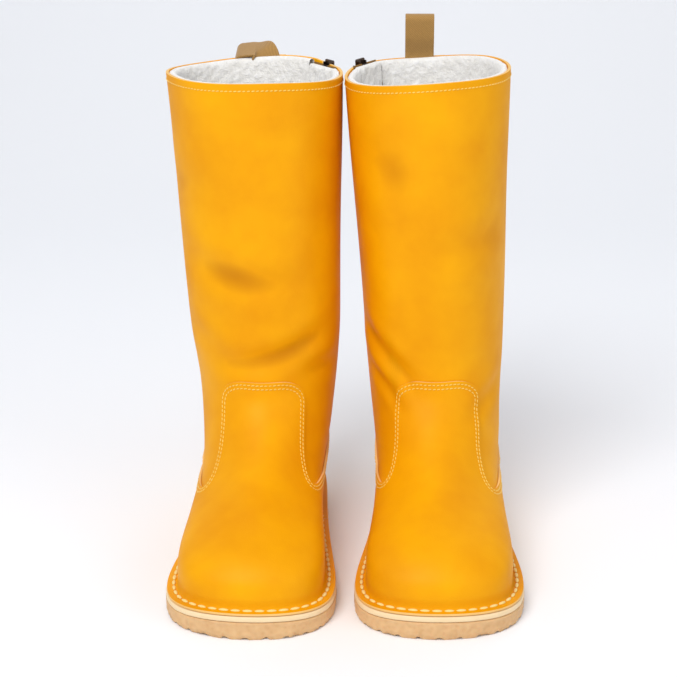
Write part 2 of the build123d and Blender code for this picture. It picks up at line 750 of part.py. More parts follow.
os.makedirs("parts", exist_ok=True)
whole = []
for boot_name, boot in BOOTS.items():
    pieces, plane, pivot = build_boot(boot)
    for piece_name, piece in pieces.items():
        placed = stand(piece, boot)
        placed.label = f"{boot_name}_{piece_name}"
        export_step(placed, f"parts/{placed.label}.step")
        whole.append(placed)
    foot = stand(Edge.make_line(plane.origin, plane.origin + plane.y_dir * 100), boot)
    pin = stand(Edge.make_line(pivot.origin, pivot.origin + pivot.z_dir * 10), boot)
    print(boot_name, "zip from", foot @ 0, "towards", (foot @ 1 - foot @ 0).normalized(), zip_length(plane))
    print(boot_name, "pin at", pin @ 0, "along", (pin @ 1 - pin @ 0).normalized())
box = Compound(children=whole).bounding_box()
print("whole", box, "centre", box.center())
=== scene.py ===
from math import cos, pi, radians, sin

import bmesh
import bpy
import numpy as np
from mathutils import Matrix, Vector


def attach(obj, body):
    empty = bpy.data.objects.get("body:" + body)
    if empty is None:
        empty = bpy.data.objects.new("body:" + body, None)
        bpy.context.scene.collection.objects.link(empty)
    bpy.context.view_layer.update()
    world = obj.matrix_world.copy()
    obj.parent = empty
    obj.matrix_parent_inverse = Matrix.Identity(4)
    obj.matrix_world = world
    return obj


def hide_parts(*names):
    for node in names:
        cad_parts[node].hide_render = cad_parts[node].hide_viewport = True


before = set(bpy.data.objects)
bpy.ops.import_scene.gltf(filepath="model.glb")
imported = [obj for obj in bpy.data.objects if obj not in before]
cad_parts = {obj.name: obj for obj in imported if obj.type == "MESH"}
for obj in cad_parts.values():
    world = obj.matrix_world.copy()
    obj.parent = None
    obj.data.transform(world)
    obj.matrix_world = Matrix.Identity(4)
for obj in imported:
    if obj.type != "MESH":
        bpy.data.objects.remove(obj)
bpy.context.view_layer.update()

MM = 0.001


# Camera, at the height of a table edge across the room, looking slightly down at the toes.
camera = bpy.data.objects.new("camera", bpy.data.cameras.new("camera"))
bpy.context.collection.objects.link(camera)
bpy.context.scene.camera = camera
camera.location = (0.0022, -1.1413, 0.5223)
camera.rotation_euler = (radians(90 - 17.85), 0, 0)
camera.data.lens = 95.5
camera.data.sensor_width = 36
camera.data.shift_x = -0.011
camera.data.clip_end = 20


# Floor: one pale seamless sheet that rises softly behind the boots.
BEND_START, BEND_RADIUS = 0.9, 1.2
floor_mesh = bpy.data.meshes.new("floor")
sweep = [(-3.0, 0.0), (BEND_START, 0.0)]
for bend in np.linspace(0.1, pi / 2, 16):
    sweep.append((BEND_START + BEND_RADIUS * sin(bend), BEND_RADIUS * (1 - cos(bend))))
sweep.append((BEND_START + BEND_RADIUS, 4.0))
floor_mesh.from_pydata(
    [(x, y, z) for y, z in sweep for x in (-4.0, 4.0)],
    [],
    [(2 * i, 2 * i + 1, 2 * i + 3, 2 * i + 2) for i in range(len(sweep) - 1)],
)
floor = bpy.data.objects.new("floor", floor_mesh)
bpy.context.collection.objects.link(floor)
for face in floor_mesh.polygons:
    face.use_smooth = True
floor_paint = bpy.data.materials.new("floor_paper")
floor_paint.use_nodes = True
floor_shader = floor_paint.node_tree.nodes["Principled BSDF"]
floor_shader.inputs["Base Color"].default_value = (0.94, 0.955, 0.985, 1)
floor_shader.inputs["Roughness"].default_value = 0.7
floor_mesh.materials.append(floor_paint)


# Light: a pale room, a wide key from the upper left, a fill from the right and one from behind.
world = bpy.data.worlds.new("room")
bpy.context.scene.world = world
world.use_nodes = True
room = world.node_tree.nodes["Background"].inputs
room["Color"].default_value = (0.96, 0.97, 1.0, 1)
room["Strength"].default_value = 0.52
LIGHTS = (
    ("key", (-0.6, -1.3, 1.8), 1.1, 31.0),
    ("fill", (1.3, -1.0, 0.9), 1.2, 5.0),
    ("back", (0.2, 1.4, 1.6), 1.4, 4.0),
)
for light_name, place, size, power in LIGHTS:
    lamp = bpy.data.lights.new(light_name, "AREA")
    lamp.size = size
    lamp.energy = power
    light = bpy.data.objects.new(light_name, lamp)
    light.location = place
    light.rotation_euler = (Vector((0, 0, 0.17)) - Vector(place)).to_track_quat("-Z", "Y").to_euler()
    bpy.context.collection.objects.link(light)
bpy.context.scene.view_settings.view_transform = "Standard"


# The last: both boots are drawn over the same wooden form, given as sections from the floor up. A place on
# it is an angle around the section, from the toe, and a height. The right boot is the left one mirrored, with
# its own stance and lean. Sizes in this file are millimetres until a mesh is made.
BOOTS = {
    "left": dict(side=1, stance=62.0, toe_out=-1.2, rim=(57.0, 65.0), eased=0.0, lean=-9.5, loop_x=-12.5),
    "right": dict(side=-1, stance=55.6, toe_out=3.25, rim=(60.9, 61.5), eased=0.065, lean=7.5, loop_x=6.5),
}
# height, toe, heel, half widths at a quarter, half and three quarters of the length, squareness
FOOT_SECTIONS = (
    (0.0, -124.0, 124.0, 45.0, 37.0, 30.5, 0.03),
    (14.0, -126.5, 125.0, 46.5, 38.5, 32.0, 0.03),
    (26.0, -128.0, 127.0, 47.5, 40.0, 33.5, 0.03),
    (38.0, -123.0, 128.5, 46.5, 41.2, 35.0, 0.03),
    (48.0, -110.0, 128.5, 42.5, 42.2, 36.0, 0.02),
    (57.0, -91.0, 127.5, 37.5, 43.0, 36.8, 0.01),
    (68.0, -64.0, 125.5, 35.5, 44.3, 37.8, 0.0),
    (80.0, -42.0, 122.5, 35.8, 45.5, 38.6, 0.0),
    (95.0, -22.0, 120.0, 37.5, 46.6, 39.6, 0.0),
    (112.0, -8.0, 118.5, 40.0, 47.8, 40.8, 0.0),
    (130.0, -4.5, 118.0, 42.0, 49.0, 42.0, 0.0),
)
SOLE_SHAPE = (-134.0, 134.0, 55.3, 47.5, 40.0, 0.03)
RIM_Z = 324.0
SHAFT_FOOT_Z = 150.0
SHAFT_FOOT = (56.8, 61.2, 50.0)
EASING = (68.0, 82.0)
LEAN_START_Z = 80.0
SWING = -2.0
LEG_RADIUS = 46.0


def shaft_section(boot, z):
    share = (z - SHAFT_FOOT_Z) / (RIM_Z - SHAFT_FOOT_Z)
    middle, depth, width = SHAFT_FOOT
    width *= 1 + boot["eased"]
    depth += share * (boot["rim"][1] - depth)
    width += share * (boot["rim"][0] - width)
    side = width * sin(pi / 3)
    return (z, middle - depth, middle + depth, side, width, side, 0.0)


def section_table(boot):
    """The sections at every millimetre of height, drawn smoothly through the given ones."""
    foot = np.array(FOOT_SECTIONS)
    start, rise = EASING
    foot[:, 3:6] *= 1 + boot["eased"] * np.clip((foot[:, :1] - start) / rise, 0, 1)
    shaft = np.array([shaft_section(boot, z) for z in (150.0, 175.0, 200.0, 280.0, 340.0)])
    rows = np.concatenate([foot, shaft])
    z, values = rows[:, 0], rows[:, 1:]
    slopes = np.gradient(values, z, axis=0)
    heights = np.arange(0.0, 340.5, 1.0)
    index = np.clip(np.searchsorted(z, heights, side="right") - 1, 0, len(z) - 2)
    step = (z[index + 1] - z[index])[:, None]
    t = ((heights - z[index]) / (z[index + 1] - z[index]))[:, None]
    table = (2 * t**3 - 3 * t**2 + 1) * values[index] + (t**3 - 2 * t**2 + t) * step * slopes[index]
    table += (3 * t**2 - 2 * t**3) * values[index + 1] + (t**3 - t**2) * step * slopes[index + 1]
    return heights, table


def around(shape, angle):
    """x and y at an angle around a section, both arrays."""
    toe, heel, ball, waist, rear, square = shape
    middle, half = (toe + heel) / 2, (heel - toe) / 2
    spread = (ball + rear) / (2 * sin(pi / 3))
    taper = (ball - rear) / sin(pi / 3)
    pinch = 2 * (spread - waist)
    width = 2 * spread - waist + taper * np.cos(angle) + pinch * np.cos(2 * angle)
    x = SWING * np.cos(2 * angle) * np.minimum(1.0, half / 120) - np.sin(angle) * width
    y = middle - half * ((1 + square) * np.cos(angle) - square * np.cos(3 * angle))
    return x, y


def last_point(boot, angle, z):
    heights, table = boot["table"]
    shape = [np.interp(z, heights, table[:, k]) for k in range(6)]
    x, y = around(shape, angle)
    x = x + boot["lean"] * np.maximum(0.0, z - LEAN_START_Z) / (RIM_Z - LEAN_START_Z)
    return np.stack([x, y, z + 0 * x], axis=-1)


def last_normal(boot, angle, z):
    step = 0.01
    across = last_point(boot, angle + step, z) - last_point(boot, angle - step, z)
    up = last_point(boot, angle, z + 1.5) - last_point(boot, angle, np.maximum(z - 1.5, 0.0))
    normal = np.cross(up, across)
    return normal / np.linalg.norm(normal, axis=-1, keepdims=True)


for boot in BOOTS.values():
    boot["table"] = section_table(boot)


# Leather surface: the last with its soft folds, where the leg breaks over the ankle, and the slight
# unevenness of a hand-lasted upper. Every layer of a boot follows the same folds, at its own depth.
FOLDS = {
    # angle in degrees and height at both ends, depth, width
    "left": (
        (80, 158, 12, 118, 2.1, 7.0),
        (70, 128, 30, 104, 1.1, 6.0),
        (-75, 118, -30, 100, 1.2, 7.0),
        (-60, 224, 5, 212, 0.8, 11.0),
        (10, 262, 60, 280, 0.7, 13.0),
        (-26, 58, 28, 55, 0.5, 6.0),
        (150, 126, 215, 118, 1.5, 7.0),
        (160, 104, 205, 100, 1.0, 6.0),
    ),
    "right": (
        (-62, 206, 34, 190, 1.7, 10.0),
        (-52, 130, 66, 158, 2.0, 8.0),
        (30, 132, 84, 128, 1.3, 7.0),
        (-70, 160, -20, 140, 1.0, 8.0),
        (-80, 250, -30, 262, 0.8, 12.0),
        (0, 286, 55, 270, 0.7, 14.0),
        (-30, 60, 26, 52, 0.8, 6.0),
        (150, 120, 212, 128, 1.5, 7.0),
        (155, 100, 200, 104, 1.0, 6.0),
    ),
}
FOLD_RADIUS = 50
ZIP_ANGLE = radians(125)
ZIP_FOOT_Z = 104.0
ZIP_CHORD = 1.95
OVERLAY = 1.6


def smooth(t):
    t = np.clip(t, 0.0, 1.0)
    return t * t * (3 - 2 * t)


def relief(boot, angle, z):
    """How far the leather stands out from the last, in millimetres."""
    turn = (angle + pi) % (2 * pi) - pi
    out = 0.55 * np.sin(3 * turn + z / 31 + boot["side"]) * smooth((z - 60) / 60)
    out = out + 0.5 * np.sin(5 * turn - z / 47 + 2 * boot["side"]) * smooth((z - 120) / 60)
    for a0, z0, a1, z1, depth, width in boot["folds"]:
        start = np.array((FOLD_RADIUS * radians(a0), z0))
        end = np.array((FOLD_RADIUS * radians(a1), z1))
        middle = (a0 + a1) / 2
        local = (angle - radians(middle) + pi) % (2 * pi) - pi
        u, v = FOLD_RADIUS * (local + radians(middle)) - start[0], z - start[1]
        length = np.linalg.norm(end - start)
        along = (u * (end - start)[0] + v * (end - start)[1]) / length
        off = (v * (end - start)[0] - u * (end - start)[1]) / length
        off = off + 0.12 * along * (1 - along / length)
        reach = smooth((along + 0.15 * length) / (0.5 * length))
        reach = reach * smooth((1.15 * length - along) / (0.5 * length))
        wave = -np.exp(-((off / width) ** 2)) + 0.55 * np.exp(-(((off - 1.7 * width) / width) ** 2))
        wave = wave + 0.45 * np.exp(-(((off + 1.8 * width) / width) ** 2))
        out = out + depth * reach * wave
    return out


def zip_frame(boot):
    """Origin at the zip's foot on the leather's face; rows: across to the front, up along the zip, out."""
    ends = []
    for z in (SHAFT_FOOT_Z, RIM_Z):
        _, toe, heel, side = shaft_section(boot, z)[:4]
        half, width = (heel - toe) / 2 - OVERLAY, side / sin(pi / 3) - OVERLAY
        lean = boot["lean"] * (z - LEAN_START_Z) / (RIM_Z - LEAN_START_Z)
        x = lean + SWING * cos(2 * ZIP_ANGLE) / 2 - sin(ZIP_ANGLE) * width
        ends.append(np.array((x, (toe + heel) / 2 - half * cos(ZIP_ANGLE), z)))
    along = (ends[1] - ends[0]) / np.linalg.norm(ends[1] - ends[0])
    out = np.cross((-width * cos(ZIP_ANGLE), half * sin(ZIP_ANGLE), 0.0), along)
    out = out / np.linalg.norm(out)
    out = out if out[0] < 0 else -out
    origin = ends[0] + along * (ZIP_FOOT_Z - SHAFT_FOOT_Z) / along[2] - out * ZIP_CHORD
    return origin, np.array((np.cross(along, out), along, out))


def leather(boot, angle, z, depth):
    """A point on the upper, at a depth in from its outermost surface, flat along the zip."""
    angle, z = np.broadcast_arrays(np.asarray(angle, float), np.asarray(z, float))
    normal = last_normal(boot, angle, z)
    calm = 1 - 0.85 * np.exp(-(((angle - ZIP_ANGLE) / 0.32) ** 2))
    point = last_point(boot, angle, z) + normal * (relief(boot, angle, z) * calm - depth)[..., None]
    origin, axes = boot["zip"]
    local = (point - origin) @ axes.T
    level = OVERLAY - depth
    flat = smooth((17 - np.abs(local[..., 0])) / 3) * smooth((local[..., 1] + 16) / 14)
    local[..., 2] += (np.minimum(local[..., 2], level) - local[..., 2]) * flat
    return local @ axes + origin


def stand(boot, points):
    """From a boot's own frame in millimetres to its place in the pair, in metres."""
    points = np.asarray(points, float)
    x, y = boot["side"] * points[..., 0], points[..., 1]
    turn = radians(boot["side"] * boot["toe_out"])
    placed = np.stack(
        [
            x * cos(turn) - y * sin(turn) + boot["side"] * boot["stance"] + CENTRING[0],
            x * sin(turn) + y * cos(turn) + CENTRING[1],
            points[..., 2],
        ],
        axis=-1,
    )
    return placed * MM


def sheet_mesh(name, boot, grid, closed=False):
    """A mesh from a grid of points, rows by columns, with its outer side out on both boots."""
    rows, columns = grid.shape[:2]
    mesh = bpy.data.meshes.new(name)
    last = columns if closed else columns - 1
    faces = []
    for r in range(rows - 1):
        for c in range(last):
            n = (c + 1) % columns
            faces.append((r * columns + c, r * columns + n, (r + 1) * columns + n, (r + 1) * columns + c))
    if boot["side"] > 0:
        faces = [face[::-1] for face in faces]
    mesh.from_pydata(stand(boot, grid).reshape(-1, 3).tolist(), [], faces)
    layer = mesh.uv_layers.new(name="UVMap")
    corners = np.zeros(len(mesh.loops), int)
    mesh.loops.foreach_get("vertex_index", corners)
    coords = np.stack([corners % columns / columns, corners // columns / rows], axis=-1)
    layer.data.foreach_set("uv", coords.astype(np.float32).ravel())
    for face in mesh.polygons:
        face.use_smooth = True
    piece = bpy.data.objects.new(name, mesh)
    bpy.context.collection.objects.link(piece)
    return piece


EDGE_ROUND = 0.35


def thicken(piece, thickness):
    """Leather's own thickness, inwards, with its cut edge slightly rounded and left raw."""
    solid = piece.modifiers.new("thickness", "SOLIDIFY")
    solid.thickness = thickness * MM
    solid.offset = -1
    solid.material_offset_rim = 1
    edge = piece.modifiers.new("edge", "BEVEL")
    edge.width = EDGE_ROUND * MM
    edge.segments = 2
    edge.limit_method = "ANGLE"
    edge.angle_limit = radians(55)


CENTRING = (1.69, 0.0)
for name, boot in BOOTS.items():
    boot["name"] = name
    boot["folds"] = FOLDS[name]
    boot["zip"] = zip_frame(boot)


# Leather: mustard yellow, smooth and semi-matt, with a fine pebbled grain, painted shade darkening it in its
# creases, and a paler raw edge wherever it is cut.


def connect(tree, socket, value):
    if isinstance(value, bpy.types.NodeSocket):
        tree.links.new(value, socket)
    else:
        socket.default_value = value


def add(tree, kind, settings=None, **inputs):
    """A new node with its settings, and each input set to a value or linked to a socket."""
    node = tree.nodes.new(kind)
    for key, value in (settings or {}).items():
        setattr(node, key, value)
    for label, value in inputs.items():
        connect(tree, node.inputs[label.replace("_", " ")], value)
    return node


def math_node(tree, operation, *values, clamp=False):
    node = add(tree, "ShaderNodeMath", dict(operation=operation, use_clamp=clamp))
    for socket, value in zip(node.inputs, values):
        connect(tree, socket, value)
    return node.outputs[0]


def mix_colour(tree, factor, a, b):
    node = add(tree, "ShaderNodeMix", dict(data_type="RGBA"))
    for index, value in ((0, factor), (6, a), (7, b)):
        connect(tree, node.inputs[index], value)
    return node.outputs[2]


def noise(tree, vector, scale, detail=3.0, roughness=0.5):
    node = add(tree, "ShaderNodeTexNoise", Vector=vector, Scale=scale, Detail=detail, Roughness=roughness)
    return node.outputs["Fac"]


def grain_group():
    """Pebbled grain: Height for a bump, and Mottle, a slow change of shade."""
    group = bpy.data.node_groups.new("grain", "ShaderNodeTree")
    group.interface.new_socket("Vector", in_out="INPUT", socket_type="NodeSocketVector")
    for label in ("Size", "Mottle"):
        group.interface.new_socket(label, in_out="INPUT", socket_type="NodeSocketFloat")
    for label in ("Height", "Mottle"):
        group.interface.new_socket(label, in_out="OUTPUT", socket_type="NodeSocketFloat")
    given = group.nodes.new("NodeGroupInput").outputs
    result = group.nodes.new("NodeGroupOutput").inputs
    place, size = given["Vector"], given["Size"]
    rounded = dict(feature="SMOOTH_F1")
    cells = add(group, "ShaderNodeTexVoronoi", rounded, Vector=place, Scale=size, Smoothness=0.6)
    fine = noise(group, place, math_node(group, "MULTIPLY", size, 0.35), 4.0)
    height = math_node(group, "ADD", cells.outputs["Distance"], math_node(group, "MULTIPLY", fine, 0.9))
    group.links.new(height, result["Height"])
    group.links.new(noise(group, place, given["Mottle"]), result["Mottle"])
    return group


def new_material(name, **values):
    """A material with its Principled shader, its tree and Object coordinates."""
    material = bpy.data.materials.new(name)
    material.use_nodes = True
    tree = material.node_tree
    shader = tree.nodes["Principled BSDF"]
    for label, value in values.items():
        shader.inputs[label.replace("_", " ")].default_value = value
    place = tree.nodes.new("ShaderNodeTexCoord").outputs["Object"]
    return material, tree, shader, place


def dress(tree, shader, colour, height, distance, strength):
    """Colour and bump into a material's shader, with the bump's distance in millimetres."""
    tree.links.new(colour, shader.inputs["Base Color"])
    relief_node = add(tree, "ShaderNodeBump", Height=height, Distance=distance * MM, Strength=strength)
    tree.links.new(relief_node.outputs["Normal"], shader.inputs["Normal"])


GRAIN = grain_group()


def leather_material(name, light, deep, fold_shade, rough):
    material, tree, shader, place = new_material(name, Specular_IOR_Level=0.12)
    grain_tree = dict(node_tree=GRAIN)
    grain = add(tree, "ShaderNodeGroup", grain_tree, Size=950.0, Mottle=24.0, Vector=place).outputs
    mottle = math_node(tree, "MULTIPLY_ADD", grain["Mottle"], 1.6, -0.3)
    colour = mix_colour(tree, math_node(tree, "MAXIMUM", mottle, 0.0), light, deep)
    # Painted shade: the leather is darkened towards fold_shade where it lies deep in a crease of its folds.
    painted_fold_shade = add(tree, "ShaderNodeAttribute", dict(attribute_name="painted_fold_shade"))
    colour = mix_colour(tree, painted_fold_shade.outputs["Fac"], colour, fold_shade)
    roughness = math_node(tree, "MULTIPLY_ADD", grain["Mottle"], 0.22, rough)
    tree.links.new(roughness, shader.inputs["Roughness"])
    dress(tree, shader, colour, grain["Height"], 0.09, 0.55)
    return material


mustard = leather_material(
    "mustard_leather", (0.89, 0.41, 0.0, 1), (0.75, 0.285, 0.0, 1), (0.40, 0.11, 0.0, 1), 0.42
)
raw_edge = leather_material(
    "raw_leather_edge", (0.93, 0.62, 0.25, 1), (0.80, 0.46, 0.13, 1), (0.5, 0.25, 0.05, 1), 0.6
)


def finish_leather(piece, boot, grid_angle, grid_z):
    """Both leather finishes and the painted shade in the creases of its folds."""
    piece.data.materials.append(mustard)
    piece.data.materials.append(raw_edge)
    # Painted shade: the deeper a point lies in a crease, the darker the leather is painted there.
    shade = piece.data.attributes.new("painted_fold_shade", "FLOAT", "POINT")
    depth = -relief(boot, np.asarray(grid_angle), np.asarray(grid_z)).ravel() - 0.9
    shade.data.foreach_set("value", np.clip(depth / 3.2, 0.0, 0.7).astype(np.float32))


# Shaft: the large panel runs from the zip around the front and the outer side to the back seam; the smaller
# one lies between the back seam and the zip. Both run under the vamp and the counter, where they are sewn.
SLOT_HALF = 4.6
SLOT_TURN = radians(4.6)
SLOT_BLEND = 14
PANEL_FOOT_Z = 46
INSTEP_RISE = 54
LEG_THICK = 1.9
BACK_GAP = 0.003


def rim_height(boot, angle):
    if boot["side"] > 0:
        return RIM_Z + 1.2 - 3.6 * np.sin(angle) + 0.9 * np.cos(3 * angle)
    return RIM_Z + 0.6 + 1.4 * np.cos(2 * angle + 0.6) + 0.8 * np.sin(3 * angle)


def back_angle(boot, z):
    """The angle at which the back seam lies, which follows the leg's lean."""
    lean = (boot["loop_x"] - boot["lean"] + 1.0) * np.clip((z - LEAN_START_Z) / (RIM_Z - LEAN_START_Z), 0, 1)
    return pi - lean / LEG_RADIUS


def panel_grid(boot, start, end, columns, rows=150):
    """Angles, heights and points of a panel between two edges, each a function of the height."""
    share = np.linspace(0, 1, columns)[None, :]
    level = np.linspace(0, 1, rows)[:, None]
    z_guess = PANEL_FOOT_Z + level * (RIM_Z - PANEL_FOOT_Z)
    angle = start(z_guess) + share * (end(z_guess) - start(z_guess))
    turn = np.abs((angle + pi) % (2 * pi) - pi)
    low = PANEL_FOOT_Z + INSTEP_RISE * smooth((radians(45) - turn) / radians(17))
    z = low + level * (rim_height(boot, angle) - low)
    return angle, z, leather(boot, angle, z, OVERLAY + 0.15)


def snap_to_slot(boot, points, column, sign):
    """Moves a panel's edge onto the straight edge of the zip's slot."""
    origin, axes = boot["zip"]
    local = (points[:, column] - origin) @ axes.T
    open_half = SLOT_HALF * smooth((local[:, 1] + 5) / 8)
    shift = sign * open_half - local[:, 0]
    for k in range(SLOT_BLEND):
        beside = k if column == 0 else -1 - k
        points[:, beside] += axes[0] * (shift * smooth(1 - k / SLOT_BLEND))[:, None]


for name, boot in BOOTS.items():
    angle, z, points = panel_grid(
        boot,
        lambda h: back_angle(boot, h) - 2 * pi + BACK_GAP,
        lambda h: ZIP_ANGLE - SLOT_TURN + 0 * h,
        190,
    )
    snap_to_slot(boot, points, -1, 1)
    front = sheet_mesh(f"{name}_leg_front_leather", boot, points)
    finish_leather(front, boot, angle, z)
    thicken(front, LEG_THICK)
    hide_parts(f"{name}_shaft_front")
    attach(front, f"{name}_boot")

    angle, z, points = panel_grid(
        boot,
        lambda h: ZIP_ANGLE + SLOT_TURN + 0 * h,
        lambda h: back_angle(boot, h) - BACK_GAP,
        60,
    )
    snap_to_slot(boot, points, 0, -1)
    back = sheet_mesh(f"{name}_leg_back_leather", boot, points)
    finish_leather(back, boot, angle, z)
    thicken(back, LEG_THICK)
    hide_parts(f"{name}_shaft_back")
    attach(back, f"{name}_boot")


# Vamp: one piece of leather over the toes and the instep, with a rounded tongue-shaped top sewn to the leg.
# Its lower edge is turned outwards and lies flat on the midsole.
COUNTER_Y = 18.0
TONGUE = (29.0, 125.0, 19.0)  # half width, top, corner radius
FLARE = (16.0, 24.0)  # how far the edge runs out and comes down below the tongue
SIDE_Z = 57.0
SEAM_START_Z = 19.0
UPPER_THICK = 1.6
FLANGE = 2.0
FLANGE_SETBACK = 0.8
SOLE_TOP = 13.0
WEDGE_RISE = 8.0
WEDGE_START_Y = -20.0
TOE_SPRING = 3.0
TOE_SPRING_Y = -90.0


def sole_height(y, base, ramp=WEDGE_RISE):
    """Height of a sole surface: base, with the toe spring in front and the wedge's slope behind."""
    rise = ramp * np.maximum(0.0, y - WEDGE_START_Y) / (SOLE_SHAPE[1] - WEDGE_START_Y)
    spring = TOE_SPRING * (np.maximum(0.0, TOE_SPRING_Y - y) / (TOE_SPRING_Y - SOLE_SHAPE[0])) ** 2
    return base + rise + spring


def sole_outline(inset, angle):
    toe, heel, ball, waist, rear, square = SOLE_SHAPE
    return around((toe + inset, heel - inset, ball - inset, waist - inset, rear - inset, square), angle)


def angle_at_y(boot, z, y, medial=True):
    """The angle at which the last crosses a plane square to its length, on the inner or the outer side."""
    low, high = np.full(np.shape(z), 0.3), np.full(np.shape(z), pi - 0.3)
    for _ in range(30):
        middle = (low + high) / 2
        ahead = last_point(boot, middle, z)[..., 1] < y
        low, high = np.where(ahead, middle, low), np.where(ahead, high, middle)
    return low if medial else -low


def angle_at_x(boot, z, x):
    """The angle near the toe at which the last reaches an offset to the side."""
    sign = np.sign(x)
    low, high = np.zeros(np.shape(z)), np.full(np.shape(z), 1.45)
    for _ in range(30):
        middle = (low + high) / 2
        inside = np.abs(last_point(boot, -sign * middle, z)[..., 0]) < np.abs(x)
        low, high = np.where(inside, middle, low), np.where(inside, high, middle)
    return -sign * low


def bezier(a, b, c, count):
    t = np.linspace(0, 1, count)[:, None]
    return (1 - t) ** 2 * np.array(a) + 2 * t * (1 - t) * np.array(b) + t**2 * np.array(c)


def tongue_edge(boot, sign):
    """Angle and height along the vamp's top edge, from the middle of the tongue out to the counter."""
    half, top, corner = TONGUE
    path = [np.array([(0.01, top), (half - corner, top)])]
    path.append(bezier((half - corner, top), (half, top), (half, top - corner), 14))
    path.append(np.array([(half, top - corner), (half, SIDE_Z + FLARE[1] + 10)]))
    path.append(bezier((half, SIDE_Z + FLARE[1] + 10), (half, SIDE_Z + 2), (half + FLARE[0], SIDE_Z), 14))
    path = np.concatenate(path)
    turn = angle_at_x(boot, path[:, 1], -sign * path[:, 0])
    end = angle_at_y(boot, np.array(SIDE_Z), COUNTER_Y, sign > 0)
    side_turn = np.linspace(turn[-1], end, 14)[1:]
    turn = np.concatenate([turn, side_turn])
    height = np.concatenate([path[:, 1], np.full(len(side_turn), SIDE_Z)])
    return turn, height


def spread_evenly(boot, turn, height, count):
    """The same edge as count points, evenly spaced along it."""
    points = leather(boot, turn, height, 0.0)
    run = np.concatenate([[0.0], np.cumsum(np.linalg.norm(np.diff(points, axis=0), axis=1))])
    even = np.linspace(0, run[-1], count)
    return np.interp(even, run, turn), np.interp(even, run, height)


def turned_out(boot, bottom_angle, top_angle, top_z, rows=72, seam_z=None):
    """Angles, heights and points of a piece whose foot is turned out over the midsole. Up to seam_z the side
    edges follow the seam between vamp and counter."""
    x, y = sole_outline(FLANGE_SETBACK, bottom_angle)
    level = sole_height(y, SOLE_TOP + FLANGE)
    edge = np.stack([x, y, level], axis=-1)
    foot = leather(boot, bottom_angle, level, 0.0)
    bend_top = level + 6.0
    share = np.linspace(0, 1, rows)[:, None]
    z = bend_top + share * (top_z - bend_top)
    if seam_z:
        share = np.clip((z - bend_top) / (seam_z - bend_top), 0, 1)
    angle = bottom_angle + share * (top_angle - bottom_angle)
    upper = leather(boot, angle, z, 0.0)
    outward = (edge - foot) / np.linalg.norm(edge - foot, axis=-1, keepdims=True)
    start = foot + outward * 2.6
    flat = [edge + (start - edge) * t for t in np.linspace(0, 1, 6)]
    bend = []
    for t in np.linspace(0, 1, 7)[1:-1]:
        bend.append((1 - t) ** 2 * start + 2 * t * (1 - t) * foot + t * t * upper[0])
    points = np.concatenate([np.array(flat + bend), upper])
    extra = len(flat) + len(bend)
    angle = np.concatenate([np.repeat(angle[:1], extra, axis=0), angle])
    z = np.concatenate([np.repeat(z[:1], extra, axis=0), z])
    return angle, z, points


for name, boot in BOOTS.items():
    right_side = spread_evenly(boot, *tongue_edge(boot, 1), 120)
    left_side = spread_evenly(boot, *tongue_edge(boot, -1), 120)
    top_angle = np.concatenate([left_side[0][:0:-1], right_side[0]])
    top_z = np.concatenate([left_side[1][:0:-1], right_side[1]])
    seam_low = angle_at_y(boot, np.array(SEAM_START_Z), COUNTER_Y)
    bottom_angle = np.linspace(-seam_low, seam_low, len(top_angle))
    angle, z, points = turned_out(boot, bottom_angle, top_angle, top_z)
    vamp = sheet_mesh(f"{name}_vamp_leather", boot, points)
    finish_leather(vamp, boot, angle, z)
    thicken(vamp, UPPER_THICK)
    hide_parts(f"{name}_vamp")
    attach(vamp, f"{name}_boot")
    boot["vamp_edge"] = (angle[-1], z[-1])


# Heel counter: wraps the heel from the vamp's one end to the other, higher at the back, turned out below as
# the vamp is.
COUNTER_TOP = ((18.0, 57.0), (60.0, 68.0), (150.0, 86.0))  # y and height along its top edge
ABOVE_BEND = 14
for name, boot in BOOTS.items():
    seam_low = angle_at_y(boot, np.array(SEAM_START_Z), COUNTER_Y)
    seam_high = angle_at_y(boot, np.array(SIDE_Z), COUNTER_Y)
    share = np.linspace(0, 1, 170)
    bottom_angle = seam_low + BACK_GAP + share * 2 * (pi - seam_low - BACK_GAP)
    top_angle = seam_high + BACK_GAP + share * 2 * (pi - seam_high - BACK_GAP)
    y = last_point(boot, top_angle, np.full(len(top_angle), 70.0))[:, 1]
    top_z = np.interp(y, *zip(*COUNTER_TOP))
    angle, z, points = turned_out(boot, bottom_angle, top_angle, top_z, 40, SIDE_Z)
    counter = sheet_mesh(f"{name}_heel_counter_leather", boot, points)
    finish_leather(counter, boot, angle, z)
    thicken(counter, UPPER_THICK)
    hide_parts(f"{name}_heel_counter")
    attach(counter, f"{name}_boot")
    sides = [(angle[ABOVE_BEND:, column], z[ABOVE_BEND:, column]) for column in (0, -1)]
    boot["counter_edges"] = [(angle[-1], z[-1])] + sides


# Back strip: a narrow strip over the seam up the back of the leg, from the counter to the rim.
STRIP_HALF = 11.0
STRIP_FOOT_Z = 76.0
for name, boot in BOOTS.items():
    level = np.linspace(0, 1, 120)[:, None]
    across = np.linspace(-1, 1, 16)[None, :]
    z = STRIP_FOOT_Z + level * (RIM_Z - STRIP_FOOT_Z) + 0 * across
    angle = back_angle(boot, z) + across * STRIP_HALF / LEG_RADIUS
    z = STRIP_FOOT_Z + level * (rim_height(boot, angle) - STRIP_FOOT_Z)
    points = leather(boot, angle, z, 0.1)
    strip = sheet_mesh(f"{name}_back_strip_leather", boot, points)
    finish_leather(strip, boot, angle, z)
    thicken(strip, 1.5)
    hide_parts(f"{name}_back_strip")
    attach(strip, f"{name}_boot")


